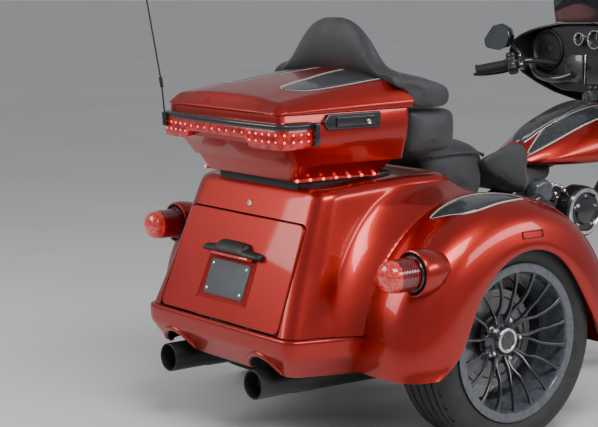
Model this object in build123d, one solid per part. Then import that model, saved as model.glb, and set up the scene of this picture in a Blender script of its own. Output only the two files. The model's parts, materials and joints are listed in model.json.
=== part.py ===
"""Full-dress motorized trike: an air-cooled V-twin touring motorcycle with two driven rear wheels,
a moulded rear body with a trunk and round fenders, and a passenger top box.

X points forward, Y to the left and Z up. All sizes are in millimetres. While it is built, X is
measured from the rear axle; each piece is moved to the part's own frame when it is written."""

from build123d import *
import math
import os

# ---------------------------------------------------------------- driving dimensions
REAR_AXLE_X = -596.0      # the rear axle in the part's own frame
WHEELBASE = 1670.0
TRACK = 1110.0            # between the middles of the two rear tyres
WIDTH = 1390.0            # over the rear fenders
WALL = 6.0                # moulded rear body, fenders and bumper
BOX_WALL = 5.0            # top box and its lid

REAR_TYRE_R = 325.0
REAR_TYRE_W = 215.0
REAR_BEAD_R = 228.0
REAR_LIP_R = 246.0
FRONT_TYRE_R = 319.0
FRONT_TYRE_W = 130.0
FRONT_BEAD_R = 238.0
FRONT_LIP_R = 252.0
REAR_RIM_HALF = 100.0     # half the rim's width over its lips
FRONT_RIM_HALF = 52.0
AXLE_R = 18.0
BEARING_GAP = 0.05        # radial running clearance on the axles and the steering stem

RAKE = 28.0               # steering axis, degrees back from vertical
TRAIL = 110.0
STEM_R = 16.0
FORK_HALF = 115.0         # fork tubes off the middle plane

DOOR_LEAN = 20.7          # degrees, of the rear face
DOOR_FOOT_X = -662.0
DOOR_FOOT_Z = 375.0
DOOR_HEIGHT = 342.0
DOOR_HALF = 300.0
DOOR_THICK = 28.0
DOOR_GAP = 5.5

TIP_Y = 226.0             # exhaust tips
TIP_Z = 219.0
TIP_END_X = -690.0
TIP_R = 45.0
TIP_WALL = 5.0
TIP_LENGTH = 128.0

HALF_TRACK = TRACK / 2
HALF_WIDTH = WIDTH / 2
LEAN = math.radians(DOOR_LEAN)

# Steering axis frame: local Z runs up the steering axis, local X forward across it
SIN_RAKE = math.sin(math.radians(RAKE))
COS_RAKE = math.cos(math.radians(RAKE))
FORK = Plane(
    origin=(WHEELBASE + TRAIL, 0, 0),
    x_dir=(COS_RAKE, 0, SIN_RAKE),
    z_dir=(-SIN_RAKE, 0, COS_RAKE),
)
FORK_OFFSET = FRONT_TYRE_R * SIN_RAKE - TRAIL * COS_RAKE
AXLE_UP = FRONT_TYRE_R * COS_RAKE + TRAIL * SIN_RAKE
LOWER_TREE = (930.0, 958.0)     # along the steering axis
UPPER_TREE = (1112.0, 1134.0)
HEAD_GAP = 8.0

# Rear face: local X runs up the leaning face, local Y to the right, local Z out of it
REAR_FACE = Plane(
    origin=(DOOR_FOOT_X, 0, DOOR_FOOT_Z),
    x_dir=(math.sin(LEAN), 0, math.cos(LEAN)),
    z_dir=(-math.cos(LEAN), 0, math.sin(LEAN)),
)


# ---------------------------------------------------------------- form helpers
def outline(plane, points, radii):
    """Closed rounded outline as a face on a plane; radii is one number or one per corner."""
    wire = FilletPolyline(*points, radius=radii, close=True)
    return plane * make_face(wire.edges())


def side_plane(y):
    """Drawing plane seen from the left side at one Y: local X is X, local Y is Z, normal is -Y."""
    return Plane(origin=(0, y, 0), x_dir=(1, 0, 0), z_dir=(0, -1, 0))


def cross_plane(x):
    """Drawing plane across the vehicle at one X: local X is Y, local Y is Z, normal is +X."""
    return Plane(origin=(x, 0, 0), x_dir=(0, 1, 0), z_dir=(1, 0, 0))


def side_prism(points, radii, y_low, y_high):
    """Outline drawn in the side view, extruded from y_low to y_high."""
    return extrude(outline(side_plane(y_high), points, radii), y_high - y_low)


def cross_prism(points, radii, x_low, x_high):
    """Outline drawn across the vehicle, extruded from x_low to x_high."""
    return extrude(outline(cross_plane(x_low), points, radii), x_high - x_low)


def plan_prism(points, radii, z_low, z_high):
    """Outline drawn in the plan view, extruded from z_low to z_high."""
    return extrude(outline(Plane.XY.offset(z_low), points, radii), z_high - z_low)


def block(x, y, z):
    """Box from three (low, high) pairs."""
    size = (x[1] - x[0], y[1] - y[0], z[1] - z[0])
    middle = ((x[0] + x[1]) / 2, (y[0] + y[1]) / 2, (z[0] + z[1]) / 2)
    return Pos(*middle) * Box(*size)


def rod(start, end, radius):
    """Round bar from one point to another."""
    start = Vector(*start)
    way = Vector(*end) - start
    plane = Plane(origin=start, z_dir=way.normalized())
    return extrude(plane * Circle(radius), way.length)


def pipe(points, bend, radius, bore=0.0):
    """Round bar or tube bent through a list of points."""
    path = FilletPolyline(*points, radius=bend)
    start = Plane(origin=path @ 0, z_dir=path % 0)
    section = Circle(radius) - Circle(bore) if bore else Circle(radius)
    return sweep(start * section, path=path)


def wheel_ring(profile, x, y, z):
    """Revolves (y, radius) points about a wheel's axle."""
    face = make_face(Polyline(*profile, close=True).edges())
    plane = Plane(origin=(x, y, z), x_dir=(0, 1, 0), z_dir=(1, 0, 0))
    return revolve(plane * face, axis=Axis((x, y, z), (0, 1, 0)))


def mirrored(shape):
    return mirror(shape, about=Plane.XZ)


def both_sides(shape):
    """A piece and its mirror image on the other side of the middle plane, as one node."""
    return Compound(list(shape.solids()) + list(mirrored(shape).solids()))


def on_fork(forward, side, up):
    """Point given in the steering axis frame, in X, Y and Z."""
    return tuple(FORK.from_local_coords(Vector(forward, side, up)))


nodes = {}


# ---------------------------------------------------------------- wheels
def tyre(x, y, outer, width, bead, lip, rim_half):
    """Road tyre: flat tread, round shoulders, bulged walls, beads seated inside the rim's lips."""
    half = width / 2
    middle = (bead + outer) / 2 + 6
    profile = (
        (-rim_half + 9.5, bead),
        (-rim_half + 7, lip + 3),
        (-half, middle),
        (-half * 0.9, outer - 16),
        (-half * 0.6, outer),
        (half * 0.6, outer),
        (half * 0.9, outer - 16),
        (half, middle),
        (rim_half - 7, lip + 3),
        (rim_half - 9.5, bead),
    )
    return wheel_ring(profile, x, y, outer)


def rim_barrel(x, y, axle_z, half, bead, lip):
    """Drop-centre rim with a lip at each edge."""
    profile = (
        (-half, lip),
        (-half + 7, lip),
        (-half + 9, bead - 1),
        (-half * 0.35, bead - 6),
        (0, bead - 22),
        (half * 0.35, bead - 6),
        (half - 9, bead - 1),
        (half - 7, lip),
        (half, lip),
        (half, bead - 10),
        (half * 0.4, bead - 18),
        (0, bead - 30),
        (-half * 0.4, bead - 18),
        (-half, bead - 10),
    )
    return wheel_ring(profile, x, y, axle_z)


def spoke(side, reach, hub_r):
    """One tapered spoke along local X, from the hub to the rim; side is the outer face's direction."""
    root = Plane(origin=(hub_r - 6, side * 30, 0), x_dir=(0, 1, 0), z_dir=(1, 0, 0))
    end = Plane(origin=(reach, side * 62, 0), x_dir=(0, 1, 0), z_dir=(1, 0, 0))
    return loft([root * Rectangle(34, 16), end * Rectangle(20, 9)])


SPOKES = 9
SPOKE_SPREAD = 9.0        # degrees, half the angle between the arms of a pair


def rear_rim(side):
    """Rear wheel without its tyre: barrel, split spokes, hub and centre cap."""
    y = side * HALF_TRACK
    centre = (0, y, REAR_TYRE_R)
    rim = rim_barrel(0, y, REAR_TYRE_R, REAR_RIM_HALF, REAR_BEAD_R, REAR_LIP_R)
    hub = wheel_ring(
        (
            (side * -62, AXLE_R + BEARING_GAP),
            (side * -62, 44),
            (side * 10, 48),
            (side * 20, 78),
            (side * 44, 78),
            (side * 52, 36),
            (side * 52, 0),
            (side * 20, 0),
            (side * 20, AXLE_R + BEARING_GAP),
        ),
        *centre,
    )
    rim = rim + hub
    for index in range(SPOKES):
        turn = index * 360 / SPOKES
        for spread in (-SPOKE_SPREAD, SPOKE_SPREAD):
            arm = Rot(0, turn + spread, 0) * spoke(side, REAR_BEAD_R - 12, 76)
            rim = rim + Pos(*centre) * arm
    return rim


for label, side in (("left", 1), ("right", -1)):
    nodes["rear_tyre_" + label] = tyre(
        0, side * HALF_TRACK, REAR_TYRE_R, REAR_TYRE_W, REAR_BEAD_R, REAR_LIP_R, REAR_RIM_HALF
    )
    nodes["rear_rim_" + label] = rear_rim(side)

nodes["front_tyre"] = tyre(
    WHEELBASE, 0, FRONT_TYRE_R, FRONT_TYRE_W, FRONT_BEAD_R, FRONT_LIP_R, FRONT_RIM_HALF
)
front_rim = rim_barrel(WHEELBASE, 0, FRONT_TYRE_R, FRONT_RIM_HALF, FRONT_BEAD_R, FRONT_LIP_R)
front_hub = wheel_ring(
    ((-62, 11.05), (-62, 34), (-30, 46), (30, 46), (62, 34), (62, 11.05)), WHEELBASE, 0, FRONT_TYRE_R
)
front_rim = front_rim + front_hub
for index in range(SPOKES):
    turn = index * 360 / SPOKES
    arm_root = Plane(origin=(38, 0, 0), x_dir=(0, 1, 0), z_dir=(1, 0, 0)) * Rectangle(44, 15)
    arm_end = Plane(origin=(FRONT_BEAD_R - 26, 0, 0), x_dir=(0, 1, 0), z_dir=(1, 0, 0)) * Rectangle(24, 10)
    arm = Rot(0, turn, 0) * loft([arm_root, arm_end])
    front_rim = front_rim + Pos(WHEELBASE, 0, FRONT_TYRE_R) * arm
nodes["front_rim"] = front_rim
disc = wheel_ring(((66, 34.0), (66, 150), (72, 150), (72, 34.0)), WHEELBASE, 0, FRONT_TYRE_R)
disc = disc + wheel_ring(((62, 11.05), (62, 40), (72, 40), (72, 11.05)), WHEELBASE, 0, FRONT_TYRE_R)
nodes["front_discs"] = both_sides(disc)


# ---------------------------------------------------------------- rear body
BODY_MID_X = -430.0
BODY_LEVELS = (
    # z, half-width at the rear corner, at BODY_MID_X, at the front, front edge x, corner radius
    (375.0, 384.0, 438.0, 400.0, 45.0, 42.0),
    (560.0, 350.0, 368.0, 360.0, 60.0, 42.0),
    (760.0, 328.0, 334.0, 330.0, 60.0, 42.0),
    (812.0, 296.0, 300.0, 290.0, 20.0, 42.0),
)
TOP_ROUND = 22.0          # how far the roof's edge leans in past the rear face


def body_section(level, inset):
    z, rear_half, mid_half, front_half, front_x, corner = level
    rear_x = DOOR_FOOT_X + (z - DOOR_FOOT_Z) * math.tan(LEAN) + inset
    if z > 800:
        rear_x = rear_x + TOP_ROUND
    front = front_x - inset
    points = (
        (rear_x, -rear_half + inset),
        (BODY_MID_X, -mid_half + inset),
        (front, -front_half + inset),
        (front, front_half - inset),
        (BODY_MID_X, mid_half - inset),
        (rear_x, rear_half - inset),
    )
    edge = max(corner - inset, 12)
    return outline(Plane.XY.offset(z), points, (edge, 60, edge, edge, 60, edge))


def body_form(inset, z_low, z_high):
    """Rear body's outer form, or the space inside it for an inset of the wall."""
    sections = []
    for level in BODY_LEVELS:
        z = min(max(level[0], z_low), z_high)
        sections.append(body_section((z,) + level[1:], inset))
    return loft(sections, ruled=True)


WELL_R = REAR_TYRE_R + 25
WELL_Y = 412.0
wells = both_sides(
    extrude(side_plane(-WELL_Y) * Pos(0, REAR_TYRE_R) * Circle(WELL_R), 400)
)
well_skins = both_sides(
    extrude(side_plane(-WELL_Y + WALL) * Pos(0, REAR_TYRE_R) * Circle(WELL_R + WALL), 400)
)
TUNNEL_X = -150.0         # the floor steps up over the axle from here forward
TUNNEL_Z = 455.0
body_outer = body_form(0, 375, 812) - block((TUNNEL_X, 100), (-500, 500), (300, TUNNEL_Z))
body_inner = body_form(WALL, 375 + WALL, 812 - WALL)
body_inner = body_inner - block((TUNNEL_X - WALL, 100), (-500, 500), (300, TUNNEL_Z + WALL))
door_hole = REAR_FACE * Pos(DOOR_HEIGHT / 2, 0, -20) * Box(
    DOOR_HEIGHT + 2 * DOOR_GAP, 2 * (DOOR_HALF + DOOR_GAP), 90
)
hinge_room = block((-700, -600), (-DOOR_HALF - DOOR_GAP, DOOR_HALF + DOOR_GAP), (370, 400))

# The body's side runs out to the fender in a hollow sweep round the wheel
FENDER_Z = 315.0          # middle of the fenders' curve
HOLLOW_SECTION = (
    # off the middle plane, radius from the fender's middle
    (300.0, 486.0),
    (352.0, 484.0),
    (392.0, 464.0),
    (430.0, 449.0),
    (452.0, 446.0),
    (452.0, 410.0),
    (446.0, 410.0),
    (446.0, 440.0),
    (428.0, 443.0),
    (389.0, 458.0),
    (349.0, 478.0),
    (300.0, 480.0),
)
HOLLOW_START = 5.0        # degrees above the rear
HOLLOW_SWEEP = 125.0
HOLLOW_X = (-600.0, 20.0)
HOLLOW_Z = (DOOR_FOOT_Z, 800.0)


def round_wheel(section, side, start, sweep):
    """Closed section (off the middle plane, radius) carried round the rear wheel from the rear."""
    face = make_face(Polyline(*[(side * y, r) for y, r in section], close=True).edges())
    plane = Plane(origin=(0, 0, FENDER_Z), x_dir=(0, 1, 0), z_dir=(1, 0, 0))
    axis = Axis((0, 0, FENDER_Z), (0, 1, 0))
    return revolve(plane * face, axis=axis, revolution_arc=sweep).rotate(axis, start - 90)


hollow_space = block(HOLLOW_X, (-WIDTH, WIDTH), HOLLOW_Z)
hollows = {}
for side in (-1, 1):
    shelf = round_wheel(HOLLOW_SECTION, side, HOLLOW_START, HOLLOW_SWEEP)
    hollows[side] = (shelf & hollow_space) - body_inner
body_shell = body_outer - wells - (body_inner - well_skins) - door_hole - hinge_room
nodes["rear_body"] = body_shell + hollows[-1] + hollows[1]

# Fender: a section carried round the wheel
FENDER_SECTION = (
    # off the middle plane, radius from the fender's middle
    (400.0, 430.0),
    (440.0, 437.0),
    (500.0, 442.0),
    (548.0, 443.0),
    (602.0, 435.0),
    (636.0, 419.0),
    (664.0, 391.0),
    (682.0, 356.0),
    (690.0, 325.0),
    (HALF_WIDTH, 288.0),
    (HALF_WIDTH, 236.0),
)
FENDER_START = -8.5       # degrees, below the wheel's middle at the rear edge
FENDER_SWEEP = 197.0
FENDER_FOOT_Y = 448.0     # inner edge below the body, beside the bumper
FENDER_ROOM = ((380.0, 360.0), (452.0, 360.0), (452.0, 470.0), (380.0, 470.0))
ARCH = (
    # x, z along the edge of the wheel opening, from the rear foot to the front foot
    (-372.0, 215.0),
    (-279.0, 317.0),
    (-228.0, 415.0),
    (36.0, 616.0),
    (231.0, 482.0),
    (304.0, 365.0),
    (390.0, 215.0),
)


def fender(side):
    inner = [(y - 0.6 * WALL, r - WALL) for y, r in FENDER_SECTION]
    inner[0] = (FENDER_SECTION[0][0], FENDER_SECTION[0][1] - WALL)
    inner[-1] = (HALF_WIDTH - WALL, FENDER_SECTION[-1][1])
    inner[-2] = (HALF_WIDTH - WALL, FENDER_SECTION[-2][1])
    skin = round_wheel(list(FENDER_SECTION) + inner[::-1], side, FENDER_START, FENDER_SWEEP)
    foot, rear_low, rear_high, top, front_high, front_low, front_foot = ARCH
    edge = (
        Polyline(foot, rear_low, rear_high).edges()
        + ThreePointArc(rear_high, top, front_high).edges()
        + Polyline(front_high, front_low, front_foot, foot).edges()
    )
    arch = extrude(side_plane(side * 650 + 60) * make_face(edge), 120)
    gap = block((-700, 0), (-FENDER_FOOT_Y, FENDER_FOOT_Y), (200, DOOR_FOOT_Z))
    room = round_wheel(FENDER_ROOM, side, HOLLOW_START, HOLLOW_SWEEP) & hollow_space
    return skin - arch - body_outer - room - gap


for label, side in (("left", 1), ("right", -1)):
    nodes["fender_" + label] = fender(side)

# Bumper: the fascia under the door, open above and below, with a scallop over each exhaust tip
BUMPER_LEVELS = (
    # z, rear x, half-width at the rear corner, half-width at BODY_MID_X
    (246.0, -636.0, 345.0, 392.0),
    (322.0, -676.0, 388.0, 440.0),
    (369.0, -669.0, 388.0, 444.0),
)
BUMPER_FRONT = -395.0
SCALLOP_R = 86.0


def bumper_form(inset, overshoot):
    sections = []
    for z, rear_x, rear_half, mid_half in BUMPER_LEVELS:
        shift = -overshoot if z < 300 else (overshoot if z > 350 else 0)
        points = (
            (rear_x + inset, -rear_half + inset),
            (BODY_MID_X, -mid_half + inset),
            (BUMPER_FRONT + 60, -mid_half + inset),
            (BUMPER_FRONT + 60, mid_half - inset),
            (BODY_MID_X, mid_half - inset),
            (rear_x + inset, rear_half - inset),
        )
        radii = (44 - inset, 20, 12, 12, 20, 44 - inset)
        sections.append(outline(Plane.XY.offset(z + shift), points, radii))
    return loft(sections, ruled=True)


bumper = bumper_form(0, 0) - bumper_form(WALL, 12)
bumper = bumper - block((BUMPER_FRONT, BUMPER_FRONT + 100), (-600, 600), (200, 400))
LIP_OUT = 7.0
LIP_IN = 4.0
low_z, low_x = BUMPER_LEVELS[0][:2]
high_z, high_x = BUMPER_LEVELS[1][:2]
lip_slab = side_prism(
    (
        (low_x - LIP_OUT, low_z + 4),
        (high_x - LIP_OUT, high_z - 4),
        (high_x + LIP_IN, high_z - 4),
        (low_x + LIP_IN, low_z + 4),
    ),
    0.5,
    -400,
    400,
)
for y in (-TIP_Y, TIP_Y):
    ring = extrude(cross_plane(-700) * Pos(y, TIP_Z) * Circle(SCALLOP_R + 11), 120)
    bumper = bumper + (ring & lip_slab)
    bumper = bumper - extrude(cross_plane(-760) * Pos(y, TIP_Z) * Circle(SCALLOP_R), 200)
nodes["rear_bumper"] = bumper

# Trunk door, hinged at its foot, with a recess for the plate
PLATE_HALF = 89.0
PLATE_HEIGHT = 102.0
RECESS_HALF = 124.0
RECESS = (62.0, 204.0)    # up the leaning face
RECESS_DEEP = 18.0


def face_box(up, right, out):
    """Box in the leaning face's frame from (low, high) pairs."""
    size = (up[1] - up[0], right[1] - right[0], out[1] - out[0])
    middle = ((up[0] + up[1]) / 2, (right[0] + right[1]) / 2, (out[0] + out[1]) / 2)
    return REAR_FACE * Pos(*middle) * Box(*size)


door = REAR_FACE * extrude(
    outline(
        Plane.XY.offset(-DOOR_THICK),
        (
            (0, -DOOR_HALF - 8),
            (DOOR_HEIGHT, -DOOR_HALF + 8),
            (DOOR_HEIGHT, DOOR_HALF - 8),
            (0, DOOR_HALF + 8),
        ),
        16,
    ),
    DOOR_THICK,
)
door = door & face_box((-1, DOOR_HEIGHT + 1), (-DOOR_HALF, DOOR_HALF), (-60, 10))
nodes["trunk_door"] = door - face_box(RECESS, (-RECESS_HALF, RECESS_HALF), (-RECESS_DEEP, 5))
plate = face_box((80, 80 + PLATE_HEIGHT), (-PLATE_HALF, PLATE_HALF), (-4, 0))
plate = plate + face_box((100, 160), (-50, 50), (-RECESS_DEEP, -4))
hood = face_box((196, 226), (-142, 142), (0, 34)) + face_box((226, 244), (-70, 70), (0, 30))
nodes["plate_holder"] = Compound(list(plate.solids()) + list(hood.solids()))

# Tail lamps on the rear of the fenders: a housing grown out of the fender, and its lens
LAMP = (-474.0, 609.0, 579.0)
LAMP_R = 50.0
LENS_X = (LAMP[0] - 60, LAMP[0] + 60)
HOUSING_X = (LENS_X[1] + 0.5, -290.0)
lamp_form = Pos(LAMP[0] + 60, LAMP[1], LAMP[2]) * Rot(0, 90, 0) * Cylinder(LAMP_R, 260)
wheel_room = list(FENDER_SECTION) + [(HALF_WIDTH, 200.0), (400.0, 200.0)]
lamp_form = lamp_form - round_wheel(wheel_room, 1, FENDER_START, FENDER_SWEEP) - body_outer
lamp_parts = {"tail_lamp_lenses": LENS_X, "tail_lamp_holders": HOUSING_X}
for name, run in lamp_parts.items():
    nodes[name] = both_sides(lamp_form & block(run, (500, 700), (500, 660)))

# ---------------------------------------------------------------- top box
BOX_FLOOR = 826.0
BOX_RIM = 1026.0
BOX_CORNER = 26.0
BOX_LEVELS = (
    # z, rear x, half-width at the rear, front x, half-width at the front
    (BOX_FLOOR, -538.0, 230.0, -192.0, 246.0),
    (870.0, -559.0, 260.0, -142.0, 288.0),
    (918.0, -598.0, 281.0, -128.0, 294.0),
    (940.0, -632.0, 297.0, -127.0, 298.0),
    (BOX_RIM, -636.0, 297.0, -126.0, 302.0),
)
LID_Z = 1031.0
LID_SLOPE = 0.105         # rise of the lid towards its front
LIGHT_OUT = 14.0          # the tail-light band stands proud of the box


def box_form(inset, floor, roof):
    sections = []
    for z, rear_x, rear_half, front_x, front_half in BOX_LEVELS:
        level = min(max(z, floor), roof)
        points = (
            (rear_x + inset, -rear_half + inset),
            (front_x - inset, -front_half + inset),
            (front_x - inset, front_half - inset),
            (rear_x + inset, rear_half - inset),
        )
        sections.append(outline(Plane.XY.offset(level), points, BOX_CORNER - inset))
    return loft(sections, ruled=True)


def box_skin(out):
    """Box from its floor to its rim, grown outwards."""
    return box_form(-out, BOX_FLOOR, BOX_RIM)


nodes["box_base"] = box_skin(0) - box_form(BOX_WALL, BOX_FLOOR + BOX_WALL, BOX_RIM + 1)


def lid_form(inset):
    low = LID_Z - (1 if inset else 0)
    side_view = side_prism(
        (
            (-645 + inset, low),
            (-645 + inset, 1034 - inset / 2),
            (-611 + inset, 1072 - inset),
            (-240, 1137 - inset),
            (-122 - inset, 1150 - inset),
            (-122 - inset, low),
        ),
        (1, 1, 12, 60, 10, 1),
        -330,
        330,
    )
    plan = plan_prism(
        (
            (-645 + inset, -296 + inset),
            (-450, -303 + inset),
            (-122 - inset, -304 + inset),
            (-122 - inset, 304 - inset),
            (-450, 303 - inset),
            (-645 + inset, 296 - inset),
        ),
        (BOX_CORNER - inset, 60, 8, 8, 60, BOX_CORNER - inset),
        low,
        1200,
    )
    section = outline(
        cross_plane(-650),
        (
            (-304 + inset, 900),
            (-304 + inset, 1037 - inset),
            (-257 + inset, 1061 - inset),
            (-150, 1078 - inset),
            (0, 1085 - inset),
            (150, 1078 - inset),
            (257 - inset, 1061 - inset),
            (304 - inset, 1037 - inset),
            (304 - inset, 900),
        ),
        (1, 12, 8, 60, 200, 60, 8, 12, 1),
    )
    across = extrude(section, 540, dir=(1, 0, LID_SLOPE))
    return side_view & plan & across


nodes["box_lid"] = lid_form(0) - lid_form(BOX_WALL)
box_room = box_skin(0.2)
band = block((-700, -525), (-400, 400), (930, 990))
nodes["box_tail_light"] = (box_skin(LIGHT_OUT) - box_room) & band
under = block((-530, -200), (222, 236), (816, 825.8))
nodes["box_under_lights"] = both_sides(under)
latch = block((-480, -260), (-318, -290), (976, 1022))
nodes["box_latch"] = latch - box_room
nodes["box_rack"] = (
    block((-500, -200), (-150, 150), (813, 825.5))
    + block((-440, -380), (-190, 190), (813, 825.5))
    + block((-300, -240), (-190, 190), (813, 825.5))
)

# Backrest: the upper pad rides on the lid, the lower pads wrap the box's front
backrest_front = cross_prism(
    (
        (-304, 1030),
        (-304, 1112),
        (-238, 1212),
        (-176, 1284),
        (-100, 1311),
        (100, 1311),
        (176, 1284),
        (238, 1212),
        (304, 1112),
        (304, 1030),
    ),
    (8, 24, 60, 50, 40, 40, 50, 60, 24, 8),
    -300,
    120,
)
backrest_side = side_prism(
    ((-118, 1034), (-118, 1152), (-206, 1160), (-206, 1306), (-140, 1312), (-60, 1150), (56, 1034)),
    (8, 8, 8, 20, 20, 60, 30),
    -310,
    310,
)
lap = extrude(Plane.XY.offset(900) * Pos(150, 0) * Ellipse(236, 290), 420)
nodes["backrest_pad"] = (backrest_front & backrest_side) - lap - lid_form(-0.5)
lower_pad = plan_prism(
    ((-122, -298), (70, -298), (70, -205), (-40, -120), (-40, 120), (70, 205), (70, 298), (-122, 298)),
    (12, 40, 40, 60, 60, 40, 40, 12),
    876,
    1012,
)
nodes["lower_backrest"] = lower_pad - box_skin(0.4)

# Antenna on a bracket at the box's left rear corner, clear of the lid's swing
ANTENNA_Y = 285.0
whip = pipe(
    (
        (-652, ANTENNA_Y, 985),
        (-663, ANTENNA_Y, 1090),
        (-715, ANTENNA_Y, 1354),
        (-795, ANTENNA_Y, 1752),
    ),
    300,
    2.5,
)
mast = rod((-650, ANTENNA_Y, 962), (-653, ANTENNA_Y, 1000), 9)
mast = mast + rod((-662, ANTENNA_Y, 1080), (-668, ANTENNA_Y, 1112), 5.5)
mast = mast + block((-656, -560), (ANTENNA_Y - 12, ANTENNA_Y + 8), (958, 966))
nodes["antenna"] = whip + mast - box_room - nodes["box_tail_light"]

# ---------------------------------------------------------------- frame
HEAD_LOW = LOWER_TREE[1] + HEAD_GAP
HEAD_HIGH = UPPER_TREE[0] - HEAD_GAP
RAIL_Z = 600.0
HEAD_R = 31.0
head_ring = Circle(HEAD_R) - Circle(STEM_R + BEARING_GAP)
head = FORK * Pos(0, 0, HEAD_LOW) * extrude(head_ring, HEAD_HIGH - HEAD_LOW)
stem_hole = FORK * Pos(0, 0, HEAD_LOW - 50) * extrude(Circle(STEM_R + BEARING_GAP), 400)
spine = pipe(
    (on_fork(-14, 0, 1004), (1040, 0, 815), (730, 0, 752), (560, 0, 660), (340, 0, 575)),
    (160, 120, 120),
    30,
)
frame = head + (spine - stem_hole)
for side in (-1, 1):
    cradle = pipe(
        (
            on_fork(-20, side * 12, 1000),
            (1085, side * 90, 500),
            (1010, side * 130, 158),
            (420, side * 150, 158),
            (360, side * 150, 420),
            (350, side * 40, 575),
        ),
        (60, 90, 90, 60),
        16,
    )
    rail = pipe(
        (
            (610, side * 24, 640),
            (440, side * 120, 622),
            (300, side * 180, RAIL_Z),
            (60.2, side * 180, RAIL_Z),
        ),
        (90, 90),
        15,
    )
    lower = rod((400, side * 150, 200), (0, side * 200, REAR_TYRE_R), 18)
    frame = frame + (cradle - stem_hole) + rail + lower
frame = frame + rod((520, -150, 158), (520, 150, 158), 14) + rod((1010, -130, 170), (1010, 130, 170), 14)
nodes["frame_tubes"] = frame

housing = rod((0, 70 - HALF_TRACK, REAR_TYRE_R), (0, HALF_TRACK - 70, REAR_TYRE_R), 40)
housing = housing + Pos(0, 0, REAR_TYRE_R) * Rot(90, 0, 0) * Cylinder(118, 96)
housing = housing + rod((0, -HALF_TRACK - 14, REAR_TYRE_R), (0, HALF_TRACK + 14, REAR_TYRE_R), AXLE_R)
for side in (-1, 1):
    housing = housing + block((-30, 30), sorted((side * 240, side * 280)), (340, TUNNEL_Z - 0.2))
nodes["rear_axle"] = housing - nodes["frame_tubes"]

# ---------------------------------------------------------------- seats and tank
seat_side = side_prism(
    ((90, 800), (60, 880), (120, 893), (330, 884), (420, 830), (452, 770), (420, 740), (100, 760)),
    (10, 20, 40, 60, 40, 30, 20, 10),
    -200,
    200,
)
seat_cross = cross_prism(
    ((-175, 700), (-185, 800), (-150, 890), (0, 905), (150, 890), (185, 800), (175, 700)),
    (10, 60, 40, 200, 40, 60, 10),
    0,
    500,
)
nodes["passenger_seat"] = (seat_side & seat_cross) - body_outer
rider_side = side_prism(
    (
        (436, 676),
        (432, 750),
        (462, 838),
        (520, 842),
        (575, 786),
        (640, 760),
        (700, 762),
        (770, 786),
        (780, 764),
        (700, 676),
        (520, 668),
    ),
    (10, 20, 24, 24, 24, 30, 20, 8, 8, 20, 20),
    -190,
    190,
)
rider_plan = plan_prism(
    ((440, -165), (600, -180), (780, -70), (780, 70), (600, 180), (440, 165)),
    (30, 60, 20, 20, 60, 30),
    650,
    860,
)
nodes["rider_seat"] = (rider_side & rider_plan) - nodes["passenger_seat"] - nodes["frame_tubes"]

TANK_SECTIONS = (
    # x, half-width, bottom z, shoulder z, top z
    (606.0, 78.0, 792.0, 806.0, 836.0),
    (720.0, 146.0, 762.0, 812.0, 878.0),
    (880.0, 184.0, 752.0, 850.0, 938.0),
    (1040.0, 186.0, 764.0, 872.0, 966.0),
    (1165.0, 110.0, 820.0, 890.0, 944.0),
)
sections = []
for x, half, bottom, shoulder, top in TANK_SECTIONS:
    points = (
        (-half * 0.8, bottom),
        (half * 0.8, bottom),
        (half, shoulder),
        (half * 0.5, top),
        (-half * 0.5, top),
        (-half, shoulder),
    )
    sections.append(outline(cross_plane(x), points, 12))
tank = loft(sections)
tunnel = side_prism(((590, 700), (590, 790), (1190, 886), (1190, 700)), 4, -48, 48)
nodes["fuel_tank"] = tank - tunnel - nodes["rider_seat"]
console = side_prism(((650, 830), (670, 872), (940, 966), (985, 962), (985, 900), (800, 850)), 6, -42, 42)
nodes["tank_console"] = console - tank

# ---------------------------------------------------------------- engine
CRANK = (800.0, 330.0)    # x, z of the crankshaft
V_HALF = 22.5
case = side_prism(
    (
        (470, 235),
        (450, 420),
        (620, 445),
        (700, 458),
        (900, 458),
        (960, 400),
        (960, 260),
        (880, 200),
        (560, 200),
    ),
    (20, 30, 20, 20, 30, 40, 40, 40, 30),
    -95,
    75,
)
deck = (
    Pos(CRANK[0], 0, CRANK[1]) * Rot(0, V_HALF, 0) * Pos(0, 0, 105) * Box(150, 110, 130)
    + Pos(CRANK[0], 0, CRANK[1]) * Rot(0, -V_HALF, 0) * Pos(0, 0, 105) * Box(150, 110, 130)
)
nodes["crankcase"] = case + deck

FIN_COUNT = 9
FIN_PITCH = 12.5
barrel_profile = [(0, 0), (58, 0)]
for index in range(FIN_COUNT):
    low = 8 + index * FIN_PITCH
    fin_r = 74 if index < 6 else 80
    barrel_profile += [(58, low), (fin_r, low), (fin_r, low + 4.5), (58, low + 4.5)]
barrel_profile += [(58, 8 + FIN_COUNT * FIN_PITCH), (0, 8 + FIN_COUNT * FIN_PITCH)]
barrel_face = make_face(Polyline(*[(r, 0, z) for r, z in barrel_profile], close=True).edges())
barrel = revolve(barrel_face, axis=Axis.Z)
BARREL_FOOT = 170.2
BARREL_TOP = BARREL_FOOT + 8 + FIN_COUNT * FIN_PITCH
cylinders = []
rockers = []
for lean, name in ((V_HALF, "front"), (-V_HALF, "rear")):
    stand = Pos(CRANK[0], 0, CRANK[1]) * Rot(0, lean, 0)
    cylinders += list((stand * Pos(0, 0, BARREL_FOOT) * barrel).solids())
    cover = stand * Pos(0, 0, BARREL_TOP + 0.2) * extrude(RectangleRounded(120, 104, 22), 46, taper=10)
    rockers += list(cover.solids())
nodes["cylinders"] = Compound(cylinders)
nodes["rocker_boxes"] = Compound(rockers)

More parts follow.
